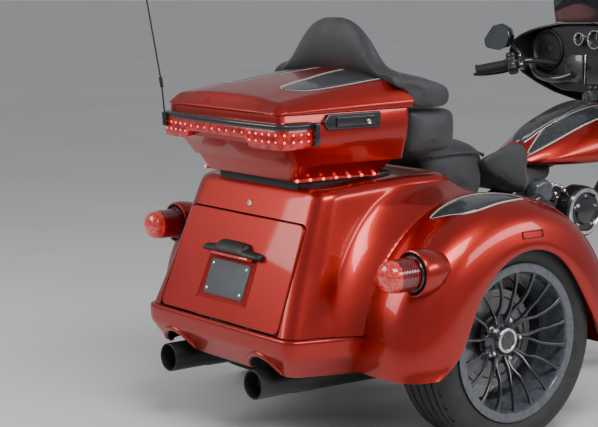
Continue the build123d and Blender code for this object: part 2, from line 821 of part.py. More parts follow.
tubes = []
for lean, offsets in ((V_HALF, (-16, 16)), (-V_HALF, (-16, 16))):
    for offset in offsets:
        foot = (CRANK[0] + offset + lean * 0.6, -112, CRANK[1] + 96)
        angle = math.radians(lean)
        reach = BARREL_TOP - 6
        top = (
            CRANK[0] + math.sin(angle) * reach + offset * 1.2,
            -92,
            CRANK[1] + math.cos(angle) * reach,
        )
        tubes += list(rod(foot, top, 8).solids())

primary = side_prism(
    (
        (500, 250),
        (480, 330),
        (520, 410),
        (620, 430),
        (800, 430),
        (880, 400),
        (900, 320),
        (860, 250),
        (760, 225),
    ),
    (40, 40, 40, 40, 60, 40, 40, 40, 60),
    75.2,
    158,
)
nodes["primary_cover"] = primary
cam = side_prism(
    ((730, 260), (720, 400), (760, 425), (860, 425), (900, 380), (890, 270), (820, 235)),
    30,
    -128,
    -95.2,
)
nodes["cam_cover"] = cam
nodes["pushrod_tubes"] = Compound([solid for tube in tubes for solid in (tube - cam).solids()])
cleaner = Pos(806, -158, 600) * Rot(90, 0, 0) * Cylinder(92, 74)
cleaner = cleaner + Pos(806, -112, 600) * Rot(90, 0, 0) * Cylinder(30, 40)
nodes["air_cleaner"] = cleaner - nodes["pushrod_tubes"] - nodes["cylinders"]

# ---------------------------------------------------------------- exhaust, floorboards, guards
mufflers = []
for side in (-1, 1):
    body = rod((300, side * TIP_Y, 205), (-560, side * TIP_Y, TIP_Z), 48)
    end = Pos(TIP_END_X, side * TIP_Y, TIP_Z) * Rot(0, 90, 0)
    tip = end * extrude(Circle(TIP_R) - Circle(TIP_R - TIP_WALL), TIP_LENGTH)
    back = end * Pos(0, 0, 70) * extrude(Circle(TIP_R - 2), 62)
    mufflers += list((body + tip + back).solids())
nodes["mufflers"] = Compound(mufflers)
front_pipe = pipe(
    (
        (940, -50, 555),
        (1012, -110, 545),
        (1000, -170, 400),
        (900, -205, 215),
        (420, -TIP_Y, 202),
        (301, -TIP_Y, 205),
    ),
    (40, 60, 90, 200),
    22,
)
rear_pipe = pipe(
    (
        (655, -50, 550),
        (590, -90, 535),
        (575, -140, 430),
        (560, -TIP_Y, 290),
        (440, -TIP_Y, 204),
    ),
    (30, 60, 60),
    22,
)
link_pipe = pipe(
    ((400, -TIP_Y, 202), (345, -150, 165), (345, 150, 165), (301, TIP_Y, 205)),
    (60, 60),
    20,
)
pipes = front_pipe + rear_pipe + link_pipe
for name in ("cylinders", "crankcase", "mufflers", "frame_tubes"):
    pipes = pipes - nodes[name]
nodes["exhaust_pipes"] = pipes
boards = []
for side in (-1, 1):
    board = plan_prism(
        ((800, side * 232), (1080, side * 232), (1095, side * 350), (810, side * 366)),
        (20, 40, 50, 30),
        262,
        276,
    )
    arm = rod((1031, side * 122, 246), (1050, side * 270, 264), 9)
    pad = plan_prism(
        ((385, side * 200), (515, side * 200), (515, side * 310), (385, side * 310)),
        24,
        372,
        386,
    )
    bracket = rod((392, side * 150, 330), (440, side * 240, 374), 9)
    boards += list((board + arm).solids()) + list((pad + bracket).solids())
nodes["floorboards"] = Compound(boards) - nodes["frame_tubes"]
guard = pipe(
    ((1085, 84, 540), (1150, 290, 520), (1160, 330, 330), (1120, 250, 200), (1025, 128, 190)),
    (60, 60, 60),
    14,
)
nodes["engine_guard"] = both_sides(guard - nodes["frame_tubes"])
belt = side_prism(((-112, 212), (-112, 438), (590, 400), (590, 250)), (90, 90, 30, 30), 60, 92)
belt = belt - side_prism(((-72, 254), (-72, 396), (560, 368), (560, 282)), (60, 60, 20, 20), 50, 100)
nodes["drive_belt"] = (belt & block((-200, 474), (50, 100), (150, 500))) - nodes["crankcase"]
cover = side_prism(
    ((420, 470), (440, 660), (560, 690), (640, 640), (600, 480)),
    (30, 40, 40, 40, 30),
    -206,
    -182,
)
nodes["side_covers"] = both_sides(cover - nodes["rider_seat"] - nodes["frame_tubes"])

# ---------------------------------------------------------------- fork, turning on the steering axis
UPRIGHT = (Align.CENTER, Align.CENTER, Align.MIN)
SLIDER = (AXLE_UP - 34, AXLE_UP + 356)     # along the steering axis
SLIDER_R = 32.0
TUBE_R = 24.5
legs = []
for side in (-1, 1):
    leg_line = FORK * Pos(FORK_OFFSET, side * FORK_HALF, 0)
    lower_leg = leg_line * Pos(0, 0, SLIDER[0]) * Cylinder(SLIDER_R, SLIDER[1] - SLIDER[0], align=UPRIGHT)
    tube_foot = SLIDER[1] - 26
    upper_leg = leg_line * Pos(0, 0, tube_foot) * Cylinder(TUBE_R, UPPER_TREE[1] - tube_foot, align=UPRIGHT)
    legs.append(lower_leg + upper_leg)
tree_plan = ((-32, -40), (14, -150), (90, -150), (90, 150), (14, 150), (-32, 40))
trees = []
for low, high in (LOWER_TREE, UPPER_TREE):
    trees.append(FORK * extrude(outline(Plane.XY.offset(low), tree_plan, 22), high - low))
stem = FORK * Pos(0, 0, LOWER_TREE[0]) * Cylinder(STEM_R, UPPER_TREE[1] - LOWER_TREE[0], align=UPRIGHT)
axle = rod((WHEELBASE, -FORK_HALF - 36, FRONT_TYRE_R), (WHEELBASE, FORK_HALF + 36, FRONT_TYRE_R), 11)
fork = legs[0] + legs[1] + trees[0] + trees[1] + stem + axle
nodes["fork"] = fork
caliper = Pos(WHEELBASE - 100, 70, FRONT_TYRE_R + 92) * Rot(0, -RAKE, 0) * Box(56, 44, 100)
slot = wheel_ring(((60.5, 20.0), (60.5, 156), (77.5, 156), (77.5, 20.0)), WHEELBASE, 0, FRONT_TYRE_R)
nodes["front_calipers"] = both_sides(caliper - slot - nodes["fork"])

FENDER_INNER = FRONT_TYRE_R + 18
front_face = make_face(
    Polyline(
        (-82, FENDER_INNER - 70),
        (-82, FENDER_INNER - 10),
        (-60, FENDER_INNER + 10),
        (0, FENDER_INNER + 20),
        (60, FENDER_INNER + 10),
        (82, FENDER_INNER - 10),
        (82, FENDER_INNER - 70),
        (78, FENDER_INNER - 70),
        (78, FENDER_INNER - 12),
        (58, FENDER_INNER + 5),
        (0, FENDER_INNER + 15),
        (-58, FENDER_INNER + 5),
        (-78, FENDER_INNER - 12),
        (-78, FENDER_INNER - 70),
        close=True,
    ).edges()
)
front_plane = Plane(origin=(WHEELBASE, 0, FRONT_TYRE_R), x_dir=(0, 1, 0), z_dir=(1, 0, 0))
front_axis = Axis((WHEELBASE, 0, FRONT_TYRE_R), (0, 1, 0))
front_fender = revolve(front_plane * front_face, axis=front_axis, revolution_arc=165)
front_fender = front_fender.rotate(front_axis, -108)
nodes["front_fender"] = front_fender - nodes["fork"]

# Handlebar and what is on it
BAR = (
    (1236, 45, 1052),
    (1200, 190, 1080),
    (1010, 300, 1102),
    (882, 440, 1063),
)
bar = pipe(((1236, 0, 1052),) + BAR, (30, 60, 60), 12.7)
bar_room = pipe(((1236, 0, 1052),) + BAR, (30, 60, 60), 22)
riser = FORK * Pos(-6, 36, UPPER_TREE[1]) * Cylinder(15, 70, align=UPRIGHT)
nodes["handlebar"] = bar + mirrored(bar) + (riser + mirrored(riser)) - nodes["fork"]
grip = rod((955, 360, 1085), (876, 446, 1061), 18)
nodes["grips"] = both_sides(grip - nodes["handlebar"])

# Fork-mounted fairing
FAIRING_LEVELS = (
    # z, rear x, front x, half-width, half-width of the nose
    (930.0, 1300.0, 1452.0, 190.0, 90.0),
    (1010.0, 1120.0, 1476.0, 330.0, 120.0),
    (1090.0, 1035.0, 1482.0, 405.0, 130.0),
    (1180.0, 1030.0, 1450.0, 410.0, 120.0),
    (1262.0, 1090.0, 1380.0, 330.0, 100.0),
)


def fairing_form(inset, overshoot):
    sections = []
    for index, (z, rear_x, front_x, half, nose) in enumerate(FAIRING_LEVELS):
        shift = 0
        points = (
            (rear_x - overshoot, -half + inset),
            ((rear_x + front_x) / 2 + 30, -half * 0.9 + inset),
            (front_x - inset, -nose),
            (front_x - inset, nose),
            ((rear_x + front_x) / 2 + 30, half * 0.9 - inset),
            (rear_x - overshoot, half - inset),
        )
        sections.append(outline(Plane.XY.offset(z + shift), points, (4, 60, 60, 60, 60, 4)))
    return loft(sections, ruled=True)


fork_room = FORK * Pos(FORK_OFFSET, 0, 800) * Box(110, 2 * FORK_HALF + 90, 900)
shell = fairing_form(0, 0) - fairing_form(5, 40)
shell = shell - block((1000, 1330), (-150, 150), (900, 960))
nodes["fairing"] = shell - fork_room
dash = fairing_form(5.4, 40) & block((1060, 1100), (-420, 420), (1010, 1262))
dash = dash & block((1000, 1200), (-400, 400), (1030, 1256))
nodes["dash"] = dash - bar_room - mirrored(bar_room) - fork_room
screen = extrude(Plane.XY.offset(1240) * (Circle(440) - Circle(436)), 230)
screen = Pos(960, 0, 0) * screen
screen = screen & block((1240, 1420), (-300, 300), (1240, 1440))
screen = screen.rotate(Axis((1390, 0, 1240), (0, 1, 0)), -18)
nodes["windshield"] = screen - fairing_form(0, 0)
headlamp = Pos(1465, 0, 1075) * Rot(0, 90, 0) * Cylinder(88, 60)
nodes["headlamp"] = headlamp
nodes["fairing"] = nodes["fairing"] - Pos(1465, 0, 1075) * Rot(0, 90, 0) * Cylinder(88.4, 60.8)
mirror_head = Pos(985, 430, 1184) * Rot(0, 0, -20) * Sphere(1)
head_section = cross_plane(975) * Pos(430, 1184) * Ellipse(72, 48)
mirror_head = extrude(head_section, 26)
mirror_arm = rod((1000, 330, 1106), (988, 400, 1150), 6)
nodes["mirrors"] = both_sides(mirror_head + mirror_arm - nodes["handlebar"])


def solids_of(shape):
    return [solid for solid in shape.solids() if solid.volume > 1]


os.makedirs("parts", exist_ok=True)
for name, shape in nodes.items():
    placed = Pos(REAR_AXLE_X, 0, 0) * Compound(solids_of(shape))
    export_step(placed, f"parts/{name}.step")
    print(name, len(solids_of(shape)))
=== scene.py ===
import json
import math

import bmesh
import bpy
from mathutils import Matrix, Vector


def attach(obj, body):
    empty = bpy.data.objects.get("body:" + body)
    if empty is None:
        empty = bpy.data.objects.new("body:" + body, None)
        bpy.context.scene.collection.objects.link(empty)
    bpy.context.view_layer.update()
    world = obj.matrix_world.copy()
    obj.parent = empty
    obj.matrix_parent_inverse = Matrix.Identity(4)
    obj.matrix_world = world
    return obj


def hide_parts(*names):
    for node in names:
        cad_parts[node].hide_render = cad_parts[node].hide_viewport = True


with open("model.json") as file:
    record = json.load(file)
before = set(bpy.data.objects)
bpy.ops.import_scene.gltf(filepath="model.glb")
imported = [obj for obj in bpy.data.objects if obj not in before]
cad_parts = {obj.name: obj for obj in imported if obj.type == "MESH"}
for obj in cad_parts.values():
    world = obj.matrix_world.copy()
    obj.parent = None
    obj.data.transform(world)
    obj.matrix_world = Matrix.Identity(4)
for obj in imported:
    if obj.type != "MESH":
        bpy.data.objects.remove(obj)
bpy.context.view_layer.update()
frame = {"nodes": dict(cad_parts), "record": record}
nodes = frame["nodes"]

# Places along the trike are measured forward from the rear axle, to the left and up, in metres
REAR_AXLE = -0.596
WHEEL_R = 0.315
SHELL = 0.004
ALONG = (1, 0, 0)
SIDES = ((-1, "right"), (1, "left"))
FLOOR_GREY = (0.78, 0.78, 0.77)


# ---------------------------------------------------------------- camera and light
CAMERA_AT = (-4.21, -4.1555, 1.481)
CAMERA_DIP = 8.63
CAMERA_ROUND = 51.71


def add_camera():
    bpy.ops.object.camera_add(
        location=CAMERA_AT, rotation=(math.radians(90 - CAMERA_DIP), 0, math.radians(CAMERA_ROUND - 90))
    )
    camera = bpy.context.object
    camera.data.sensor_width = 36
    camera.data.lens = 100.91
    camera.data.clip_end = 60
    bpy.context.scene.camera = camera


def add_light(name, place, aim, width, height, power):
    way = Vector(aim) - Vector(place)
    bpy.ops.object.light_add(type="AREA", location=place, rotation=way.to_track_quat("-Z", "Y").to_euler())
    lamp = bpy.context.object
    lamp.name = name
    lamp.data.shape = "RECTANGLE"
    lamp.data.size = width
    lamp.data.size_y = height
    lamp.data.energy = power


# ---------------------------------------------------------------- finishes
FINISHES = {}


def new_finish(name):
    made = bpy.data.materials.new(name)
    made.use_nodes = True
    FINISHES[name] = made
    return made.node_tree.nodes["Principled BSDF"], made.node_tree


def add_noise(tree, scale, detail, stretch=(1, 1, 1)):
    """Noise over the piece's own coordinates; stretch squeezes it along an axis."""
    where = tree.nodes.new("ShaderNodeTexCoord")
    squeeze = tree.nodes.new("ShaderNodeMapping")
    squeeze.inputs["Scale"].default_value = stretch
    noise = tree.nodes.new("ShaderNodeTexNoise")
    noise.inputs["Scale"].default_value = scale
    noise.inputs["Detail"].default_value = detail
    noise.inputs["Roughness"].default_value = 0.55
    tree.links.new(where.outputs["Object"], squeeze.inputs["Vector"])
    tree.links.new(squeeze.outputs["Vector"], noise.inputs["Vector"])
    return noise.outputs["Fac"]


def spread(tree, factor, socket, low, high, start=0.35, stop=0.65):
    """Drives a colour or a number between two values with a texture."""
    ramp = tree.nodes.new("ShaderNodeMapRange")
    ramp.inputs["From Min"].default_value = start
    ramp.inputs["From Max"].default_value = stop
    tree.links.new(factor, ramp.inputs["Value"])
    if isinstance(low, tuple):
        mix = tree.nodes.new("ShaderNodeMix")
        mix.data_type = "RGBA"
        mix.inputs["A"].default_value = low + (1,)
        mix.inputs["B"].default_value = high + (1,)
        tree.links.new(ramp.outputs["Result"], mix.inputs["Factor"])
        tree.links.new(mix.outputs["Result"], socket)
        return
    ramp.inputs["To Min"].default_value = low
    ramp.inputs["To Max"].default_value = high
    tree.links.new(ramp.outputs["Result"], socket)


def add_bump(tree, shader, height, strength, distance):
    bump = tree.nodes.new("ShaderNodeBump")
    bump.inputs["Strength"].default_value = strength
    bump.inputs["Distance"].default_value = distance
    tree.links.new(height, bump.inputs["Height"])
    tree.links.new(bump.outputs["Normal"], shader.inputs["Normal"])


def make_finish(name, colours, grain, roughness, wear=None, bump=None, coat=None, glow=None, **inputs):
    """A finish whose colour and roughness each run between two values over noise.

    grain and wear are the noise behind the colour and the roughness, as (scale, detail, stretch); without wear both
    follow grain. bump is (strength, distance) over grain, or over a noise of its own given after them. coat is
    (weight, roughness) of the clear coat, and glow is two colours of light and its strength.
    """
    shader, tree = new_finish(name)
    for key, value in inputs.items():
        shader.inputs[key.replace("_", " ")].default_value = value
    if coat:
        shader.inputs["Coat Weight"].default_value, shader.inputs["Coat Roughness"].default_value = coat
    texture = add_noise(tree, *grain)
    spread(tree, texture, shader.inputs["Base Color"], *colours)
    spread(tree, add_noise(tree, *wear) if wear else texture, shader.inputs["Roughness"], *roughness)
    if glow:
        spread(tree, texture, shader.inputs["Emission Color"], *glow[:2])
        shader.inputs["Emission Strength"].default_value = glow[2]
    if bump:
        strength, distance, *grit = bump
        add_bump(tree, shader, add_noise(tree, *grit) if grit else texture, strength, distance)


def times(colour, factor):
    return tuple(part * factor for part in colour)


def gloss_black(name, colour, wear):
    """Black lacquer with faint dust and swirl."""
    rough = 0.16
    make_finish(name, (colour, times(colour, 1.7)), (60, 6), (rough, rough + wear), wear=(14, 5), coat=(0.6, 0.05))


def satin_black(name, colour, rough, grain, depth):
    """Powder coat, wrinkle paint or moulded plastic: a fine grain of the given size."""
    colours = (colour, times(colour, 1.5))
    make_finish(name, colours, (grain, 4), (rough - 0.06, rough + 0.06), wear=(25, 4), bump=(0.35, depth))


def glowing(name, dark, light, lit, strength, rough=0.12, cells=38):
    """Clear or tinted lens, or a lit bead, with an uneven inner glow."""
    glow = (times(lit, 0.5), lit, strength)
    make_finish(name, (dark, light), (cells, 3), (rough, rough + 0.08), wear=(20, 3), coat=(1.0, 0.03), glow=glow)


def vinyl():
    """Grained seat cover: small cells with soft valleys."""
    shader, tree = new_finish("seat_vinyl")
    shader.inputs["Sheen Weight"].default_value = 0.12
    where = tree.nodes.new("ShaderNodeTexCoord")
    cells = tree.nodes.new("ShaderNodeTexVoronoi")
    cells.inputs["Scale"].default_value = 420
    cells.feature = "SMOOTH_F1"
    tree.links.new(where.outputs["Object"], cells.inputs["Vector"])
    spread(tree, add_noise(tree, 9, 5), shader.inputs["Base Color"], (0.018, 0.019, 0.022), (0.032, 0.033, 0.037))
    spread(tree, cells.outputs["Distance"], shader.inputs["Roughness"], 0.5, 0.62, 0.1, 0.7)
    add_bump(tree, shader, cells.outputs["Distance"], 0.35, 0.0005)


make_finish(
    "candy_paint", ((0.31, 0.009, 0.006), (0.43, 0.017, 0.009)), (900, 2), (0.3, 0.36),
    wear=(6, 4), bump=(0.05, 0.0002), coat=(0.55, 0.04), Metallic=0.8,
)
make_finish(
    "tyre_rubber", ((0.012, 0.012, 0.012), (0.03, 0.029, 0.028)), (30, 6), (0.62, 0.8),
    bump=(0.3, 0.0004, 700, 3),
)
make_finish("disc_steel", ((0.16, 0.16, 0.165), (0.3, 0.3, 0.31)), (120, 5, (1, 1, 9)), (0.26, 0.42), Metallic=1.0)
make_finish("polished_steel", ((0.62, 0.62, 0.63), (0.78, 0.78, 0.79)), (70, 5), (0.08, 0.2), Metallic=1.0)
make_finish(
    "red_lens", ((0.16, 0.002, 0.003), (0.42, 0.01, 0.01)), (55, 3), (0.22, 0.22),
    coat=(0.35, 0.03), glow=((0.16, 0.0, 0.0), (0.8, 0.02, 0.02), 0.35),
)
make_finish(
    "lamp_glass", ((0.55, 0.57, 0.6), (0.8, 0.82, 0.85)), (40, 2, (1, 6, 1)), (0.06, 0.16),
    coat=(1.0, 0.02), Metallic=0.6,
)
make_finish(
    "smoked_screen", ((0.05, 0.05, 0.055), (0.08, 0.08, 0.085)), (8, 3), (0.02, 0.06),
    coat=(0.8, 0.03), IOR=1.02, Transmission_Weight=0.85,
)
vinyl()
glowing("mirror_glass", (0.03, 0.034, 0.04), (0.045, 0.05, 0.058), (0.0, 0.0, 0.0), 0.0, 0.02)
glowing("lit_bead", (0.9, 0.08, 0.06), (1.0, 0.22, 0.18), (1.0, 0.14, 0.1), 3.0)
glowing("deep_lens", (0.05, 0.001, 0.003), (0.16, 0.004, 0.01), (0.2, 0.002, 0.004), 0.25)
glowing("lens_bright", (0.2, 0.004, 0.006), (0.58, 0.045, 0.04), (0.9, 0.06, 0.04), 0.42, 0.1, 120)
gloss_black("gloss_black", (0.01, 0.01, 0.012), 0.06)
gloss_black("wheel_black", (0.011, 0.012, 0.015), 0.1)
gloss_black("inlay_grey", (0.02, 0.023, 0.026), 0.1)
gloss_black("console_grey", (0.026, 0.027, 0.029), 0.2)
gloss_black("lip_black", (0.045, 0.05, 0.06), 0.12)
satin_black("pinstripe", (0.42, 0.38, 0.36), 0.36, 600, 0.00005)
satin_black("plate_grey", (0.055, 0.06, 0.064), 0.5, 700, 0.0002)
satin_black("engine_black", (0.022, 0.022, 0.024), 0.46, 500, 0.0003)
satin_black("frame_black", (0.013, 0.013, 0.014), 0.4, 900, 0.0001)
satin_black("exhaust_black", (0.012, 0.012, 0.012), 0.44, 1200, 0.0001)
satin_black("belt_rubber", (0.014, 0.014, 0.014), 0.72, 300, 0.0003)
satin_black("grip_rubber", (0.013, 0.013, 0.013), 0.66, 800, 0.0003)
satin_black("trim_black", (0.007, 0.007, 0.008), 0.5, 1100, 0.0002)

for entry in frame["record"]["subparts"]:
    node = nodes[entry["node"]]
    node.data.materials.clear()
    node.data.materials.append(FINISHES[entry["material_slot"]])


# ---------------------------------------------------------------- bench tools
def clear():
    if bpy.context.object and bpy.context.object.mode != "OBJECT":
        bpy.ops.object.mode_set(mode="OBJECT")
    bpy.ops.object.select_all(action="DESELECT")


def work_on(piece, *others):
    clear()
    for one in (piece,) + others:
        one.select_set(True)
    bpy.context.view_layer.objects.active = piece


def edit(piece):
    work_on(piece)
    bpy.ops.object.mode_set(mode="EDIT")
    bpy.ops.mesh.select_all(action="DESELECT")


def done():
    bpy.ops.object.mode_set(mode="OBJECT")


def pick(kind, test):
    """Selects the open piece's points, edges or faces whose middle passes the test."""
    bpy.ops.mesh.select_mode(type=kind)
    mesh = bmesh.from_edit_mesh(bpy.context.object.data)
    for part in {"VERT": mesh.verts, "EDGE": mesh.edges, "FACE": mesh.faces}[kind]:
        if kind == "VERT":
            part.select_set(test(part.co))
        elif kind == "EDGE":
            part.select_set(test((part.verts[0].co + part.verts[1].co) / 2))
        else:
            part.select_set(test(part.calc_center_median()))
    mesh.select_flush_mode()
    bmesh.update_edit_mesh(bpy.context.object.data)


def new_piece(name):
    """An empty piece, open for drawing."""
    clear()
    bpy.ops.mesh.primitive_plane_add(size=0.01)
    piece = bpy.context.object
    piece.name = name
    bpy.ops.object.mode_set(mode="EDIT")
    bpy.ops.mesh.delete(type="VERT")
    return piece


def draw(points, closed=False):
    """Draws a line in the open piece by extruding one point along it."""
    bpy.ops.mesh.select_mode(type="VERT")
    bpy.ops.mesh.select_all(action="DESELECT")
    bpy.ops.mesh.primitive_plane_add(size=0.0005, location=points[0])
    bpy.ops.mesh.merge(type="CENTER")
    for here, there in zip(points, points[1:]):
        step = Vector(there) - Vector(here)
        bpy.ops.mesh.extrude_vertices_move(TRANSFORM_OT_translate={"value": step})
    if closed:
        mesh = bmesh.from_edit_mesh(bpy.context.object.data)
        mesh.verts.ensure_lookup_table()
        mesh.verts[len(mesh.verts) - len(points)].select_set(True)
        bmesh.update_edit_mesh(bpy.context.object.data)
        bpy.ops.mesh.edge_face_add()


def pick_rows(first, last, count):
    """Selects drawn lines number first to last, each of count points."""
    bpy.ops.mesh.select_mode(type="VERT")
    bpy.ops.mesh.select_all(action="DESELECT")
    mesh = bmesh.from_edit_mesh(bpy.context.object.data)
    mesh.verts.ensure_lookup_table()
    for index in range(first * count, (last + 1) * count):
        mesh.verts[index].select_set(True)
    mesh.select_flush_mode()
    bmesh.update_edit_mesh(bpy.context.object.data)


def skin(name, lines, closed=False, start_cap=False, end_cap=False, crease_caps=True):
    """Draws every line and bridges each to the next."""
    piece = new_piece(name)
    count = len(lines[0])
    for line in lines:
        draw(line, closed)
    for row in range(len(lines) - 1):
        pick_rows(row, row + 1, count)
        bpy.ops.mesh.bridge_edge_loops()
    for wanted, row in ((start_cap, 0), (end_cap, len(lines) - 1)):
        if wanted:
            pick_rows(row, row, count)
            bpy.ops.mesh.edge_face_add()
            if crease_caps:
                bpy.ops.transform.edge_crease(value=1)
    bpy.ops.mesh.select_all(action="SELECT")
    bpy.ops.mesh.normals_make_consistent(inside=False)
    done()
    return piece


def modify(piece, kind, **settings):
    """Adds a modifier, sets it and applies it."""
    work_on(piece)
    change = piece.modifiers.new(kind.lower(), kind)
    for key, value in settings.items():
        setattr(change, key, value)
    bpy.ops.object.modifier_apply(modifier=change.name)
    return piece


OPEN_EDGE = {"boundary_smooth": "PRESERVE_CORNERS"}


def refine(piece, levels, **settings):
    return modify(piece, "SUBSURF", levels=levels, render_levels=levels, **settings)


def bevel(piece, width, angle, segments=2):
    limit = math.radians(angle)
    return modify(piece, "BEVEL", width=width, segments=segments, limit_method="ANGLE", angle_limit=limit)


def thicken(piece, thickness, offset):
    return modify(piece, "SOLIDIFY", thickness=thickness, offset=offset)


def cut_out(piece, cutter):
    modify(piece, "BOOLEAN", object=cutter, operation="DIFFERENCE", solver="EXACT")
    bpy.data.objects.remove(cutter)


def smooth(piece, angle=35):
    work_on(piece)
    bpy.ops.object.shade_smooth_by_angle(angle=math.radians(angle))
    return piece


def cleaned(piece, angle=35):
    """Welds a piece's seams, turns its faces outward and shades it smooth."""
    edit(piece)
    bpy.ops.mesh.select_all(action="SELECT")
    bpy.ops.mesh.remove_doubles(threshold=0.00005)
    bpy.ops.mesh.normals_make_consistent(inside=False)
    done()
    return smooth(piece, angle)


def solid(name, lines):
    """A closed solid through outlines with the same count of points."""
    return skin(name, lines, closed=True, start_cap=True, end_cap=True, crease_caps=False)


def mirrored(half):
    """The way back to the start of a half outline, on the left of the middle plane."""
    return [(x, -y, z) for x, y, z in half[-2::-1]]


def mirrored_lines(half):
    """Lines across the right half as far as the middle plane, then the same on the left."""
    return half + [[(x, -y, z) for x, y, z in line] for line in half[-2::-1]]


def place(piece, body, slot, replaces=(), look=None):
    """Moves a piece from its own marks to the trike's, gives it its finish and hangs it on its body."""
    work_on(piece)
    piece.location.x += REAR_AXLE
    bpy.ops.object.transform_apply()
    piece.data.materials.clear()
    piece.data.materials.append(FINISHES[look or slot])
    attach(piece, body)
    if replaces:
        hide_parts(*replaces)
    return piece


def other_side(piece):
    """A mirror image on the other side of the middle plane, with its own mesh."""
    work_on(piece)
    bpy.ops.object.duplicate()
    twin = bpy.context.object
    twin.name = piece.name.replace("_right", "_left")
    edit(twin)
    bpy.ops.mesh.select_all(action="SELECT")
    bpy.ops.transform.resize(value=(1, -1, 1), center_override=(0, 0, 0))
    bpy.ops.mesh.flip_normals()
    done()
    return twin


STEEL = ("disc_steel", (), "polished_steel")


def place_both(piece, body, slot, replaces=(), look=None):
    """Places a piece from the right side and its mirror image."""
    twin = other_side(piece)
    place(piece, body, slot, replaces, look)
    place(twin, body, slot, look=look)


def blend_table(table, at):
    """Reads a table of rows (key, value, ...) between its keys, eased like a drawn curve."""
    keys = [row[0] for row in table]
    if at <= keys[0]:
        return table[0][1:]
    if at >= keys[-1]:
        return table[-1][1:]
    low = min(max(index for index, key in enumerate(keys) if key <= at), len(table) - 2)
    d = keys[low + 1] - keys[low]
    t = (at - keys[low]) / d
    values = []
    for column in range(1, len(table[0])):
        p1, p2 = table[low][column], table[low + 1][column]
        m1 = m2 = p2 - p1
        if low > 0:
            m1 = (p2 - table[low - 1][column]) / (keys[low + 1] - keys[low - 1]) * d
        if low + 2 < len(table):
            m2 = (table[low + 2][column] - p1) / (keys[low + 2] - keys[low]) * d
        values.append(
            (2 * t**3 - 3 * t**2 + 1) * p1
            + (t**3 - 2 * t**2 + t) * m1
            + (-2 * t**3 + 3 * t**2) * p2
            + (t**3 - t**2) * m2
        )
    return tuple(values)


def move(piece, x=0.0, y=0.0, z=0.0):
    edit(piece)
    bpy.ops.mesh.select_all(action="SELECT")
    bpy.ops.transform.translate(value=(x, y, z))
    done()
    return piece


def join(name, pieces):
    work_on(pieces[0], *pieces[1:])
    if len(pieces) > 1:
        bpy.ops.object.join()
    pieces[0].name = name
    return pieces[0]


def spin(name, profile, steps=64, axis=(0, 1, 0)):
    """Turns a closed profile of (along the axle, radius) points round the axle."""
    piece = new_piece(name)
    draw([(0, along, r) if axis[1] else (along, 0, r) for along, r in profile], closed=True)
    bpy.ops.mesh.select_all(action="SELECT")
    bpy.ops.mesh.spin(steps=steps, angle=2 * math.pi, center=(0, 0, 0), axis=axis)
    bpy.ops.mesh.select_all(action="SELECT")
    bpy.ops.mesh.remove_doubles(threshold=0.00002)
    bpy.ops.mesh.normals_make_consistent(inside=False)
    done()
    return piece


def ring_of(piece, count):
    """Repeats what the piece holds evenly round the axle."""
    edit(piece)
    bpy.ops.mesh.select_all(action="SELECT")
    for _ in range(count - 1):
        bpy.ops.mesh.duplicate()
        bpy.ops.transform.rotate(value=2 * math.pi / count, orient_axis="Y", center_override=(0, 0, 0))
    done()
    return piece


def slab(name, low, high, bevel=0.002, segments=2):
    """A block between two corners with its edges rounded."""
    clear()
    middle = [(a + b) / 2 for a, b in zip(low, high)]
    size = [abs(b - a) for a, b in zip(low, high)]
    bpy.ops.mesh.primitive_cube_add(size=1, location=middle, scale=size)
    piece = bpy.context.object
    piece.name = name
    bpy.ops.object.transform_apply()
    modify(piece, "BEVEL", width=bevel, segments=segments, limit_method="ANGLE")
    return smooth(piece, 40)


def cylinder(vertices, radius, depth, at, turn=(0, 0, 0)):
    clear()
    bpy.ops.mesh.primitive_cylinder_add(vertices=vertices, radius=radius, depth=depth, location=at, rotation=turn)
    bpy.ops.object.transform_apply()
    return bpy.context.object


def beads(name, spots):
    """Small domes in one piece, each given as (x, y, z, radius)."""
    made = []
    for x, y, z, radius in spots:
        clear()
        bpy.ops.mesh.primitive_ico_sphere_add(subdivisions=2, radius=radius, location=(x, y, z))
        bpy.ops.object.transform_apply()
        made.append(bpy.context.object)
    return smooth(join(name, made), 60)


# ---------------------------------------------------------------- wheels
def groove(middle, half, top, deep):
    slope = half * 0.7
    return [(middle - half, top), (middle - slope, top - deep), (middle + slope, top - deep), (middle + half, top)]


TREAD_STEPS = 80


def make_tyre(name, outer, half, bead, lip, rim_half, grooves):
    """A tyre with grooves round it and a row of lugs near each edge of its tread."""
    wall = [
        (-rim_half + 0.0095, bead + 0.0005), (-rim_half + 0.007, lip + 0.003), (-rim_half + 0.002, lip + 0.01),
        (-half + 0.0012, lip + (outer - lip) * 0.32), (-half, lip + (outer - lip) * 0.5),
        (-half + 0.0006, lip + (outer - lip) * 0.54), (-half + 0.0035, lip + (outer - lip) * 0.7),
        (-half + 0.01, outer - (outer - lip) * 0.14), (-half + 0.023, outer - (outer - lip) * 0.04),
        (-half + 0.035, outer - 0.0006),
    ]
    top = []
    for middle in grooves:
        top += groove(middle, 0.0045, outer, 0.006)
    profile = wall + top + [(-along, r) for along, r in wall[::-1]]
    tyre = spin(name, profile, TREAD_STEPS)
    edit(tyre)
    step = 2 * math.pi / TREAD_STEPS
    edge = half - 0.029

    def lug(at):
        turn = int((math.atan2(at.z, at.x) + math.pi) / step)
        return abs(abs(at.y) - edge) < 0.0058 and math.hypot(at.x, at.z) > outer - 0.012 and turn % 2 == 0

    pick("FACE", lug)
    bpy.ops.mesh.inset(thickness=0.0015, depth=-0.0035, use_individual=True)
    done()
    return smooth(tyre, 38)


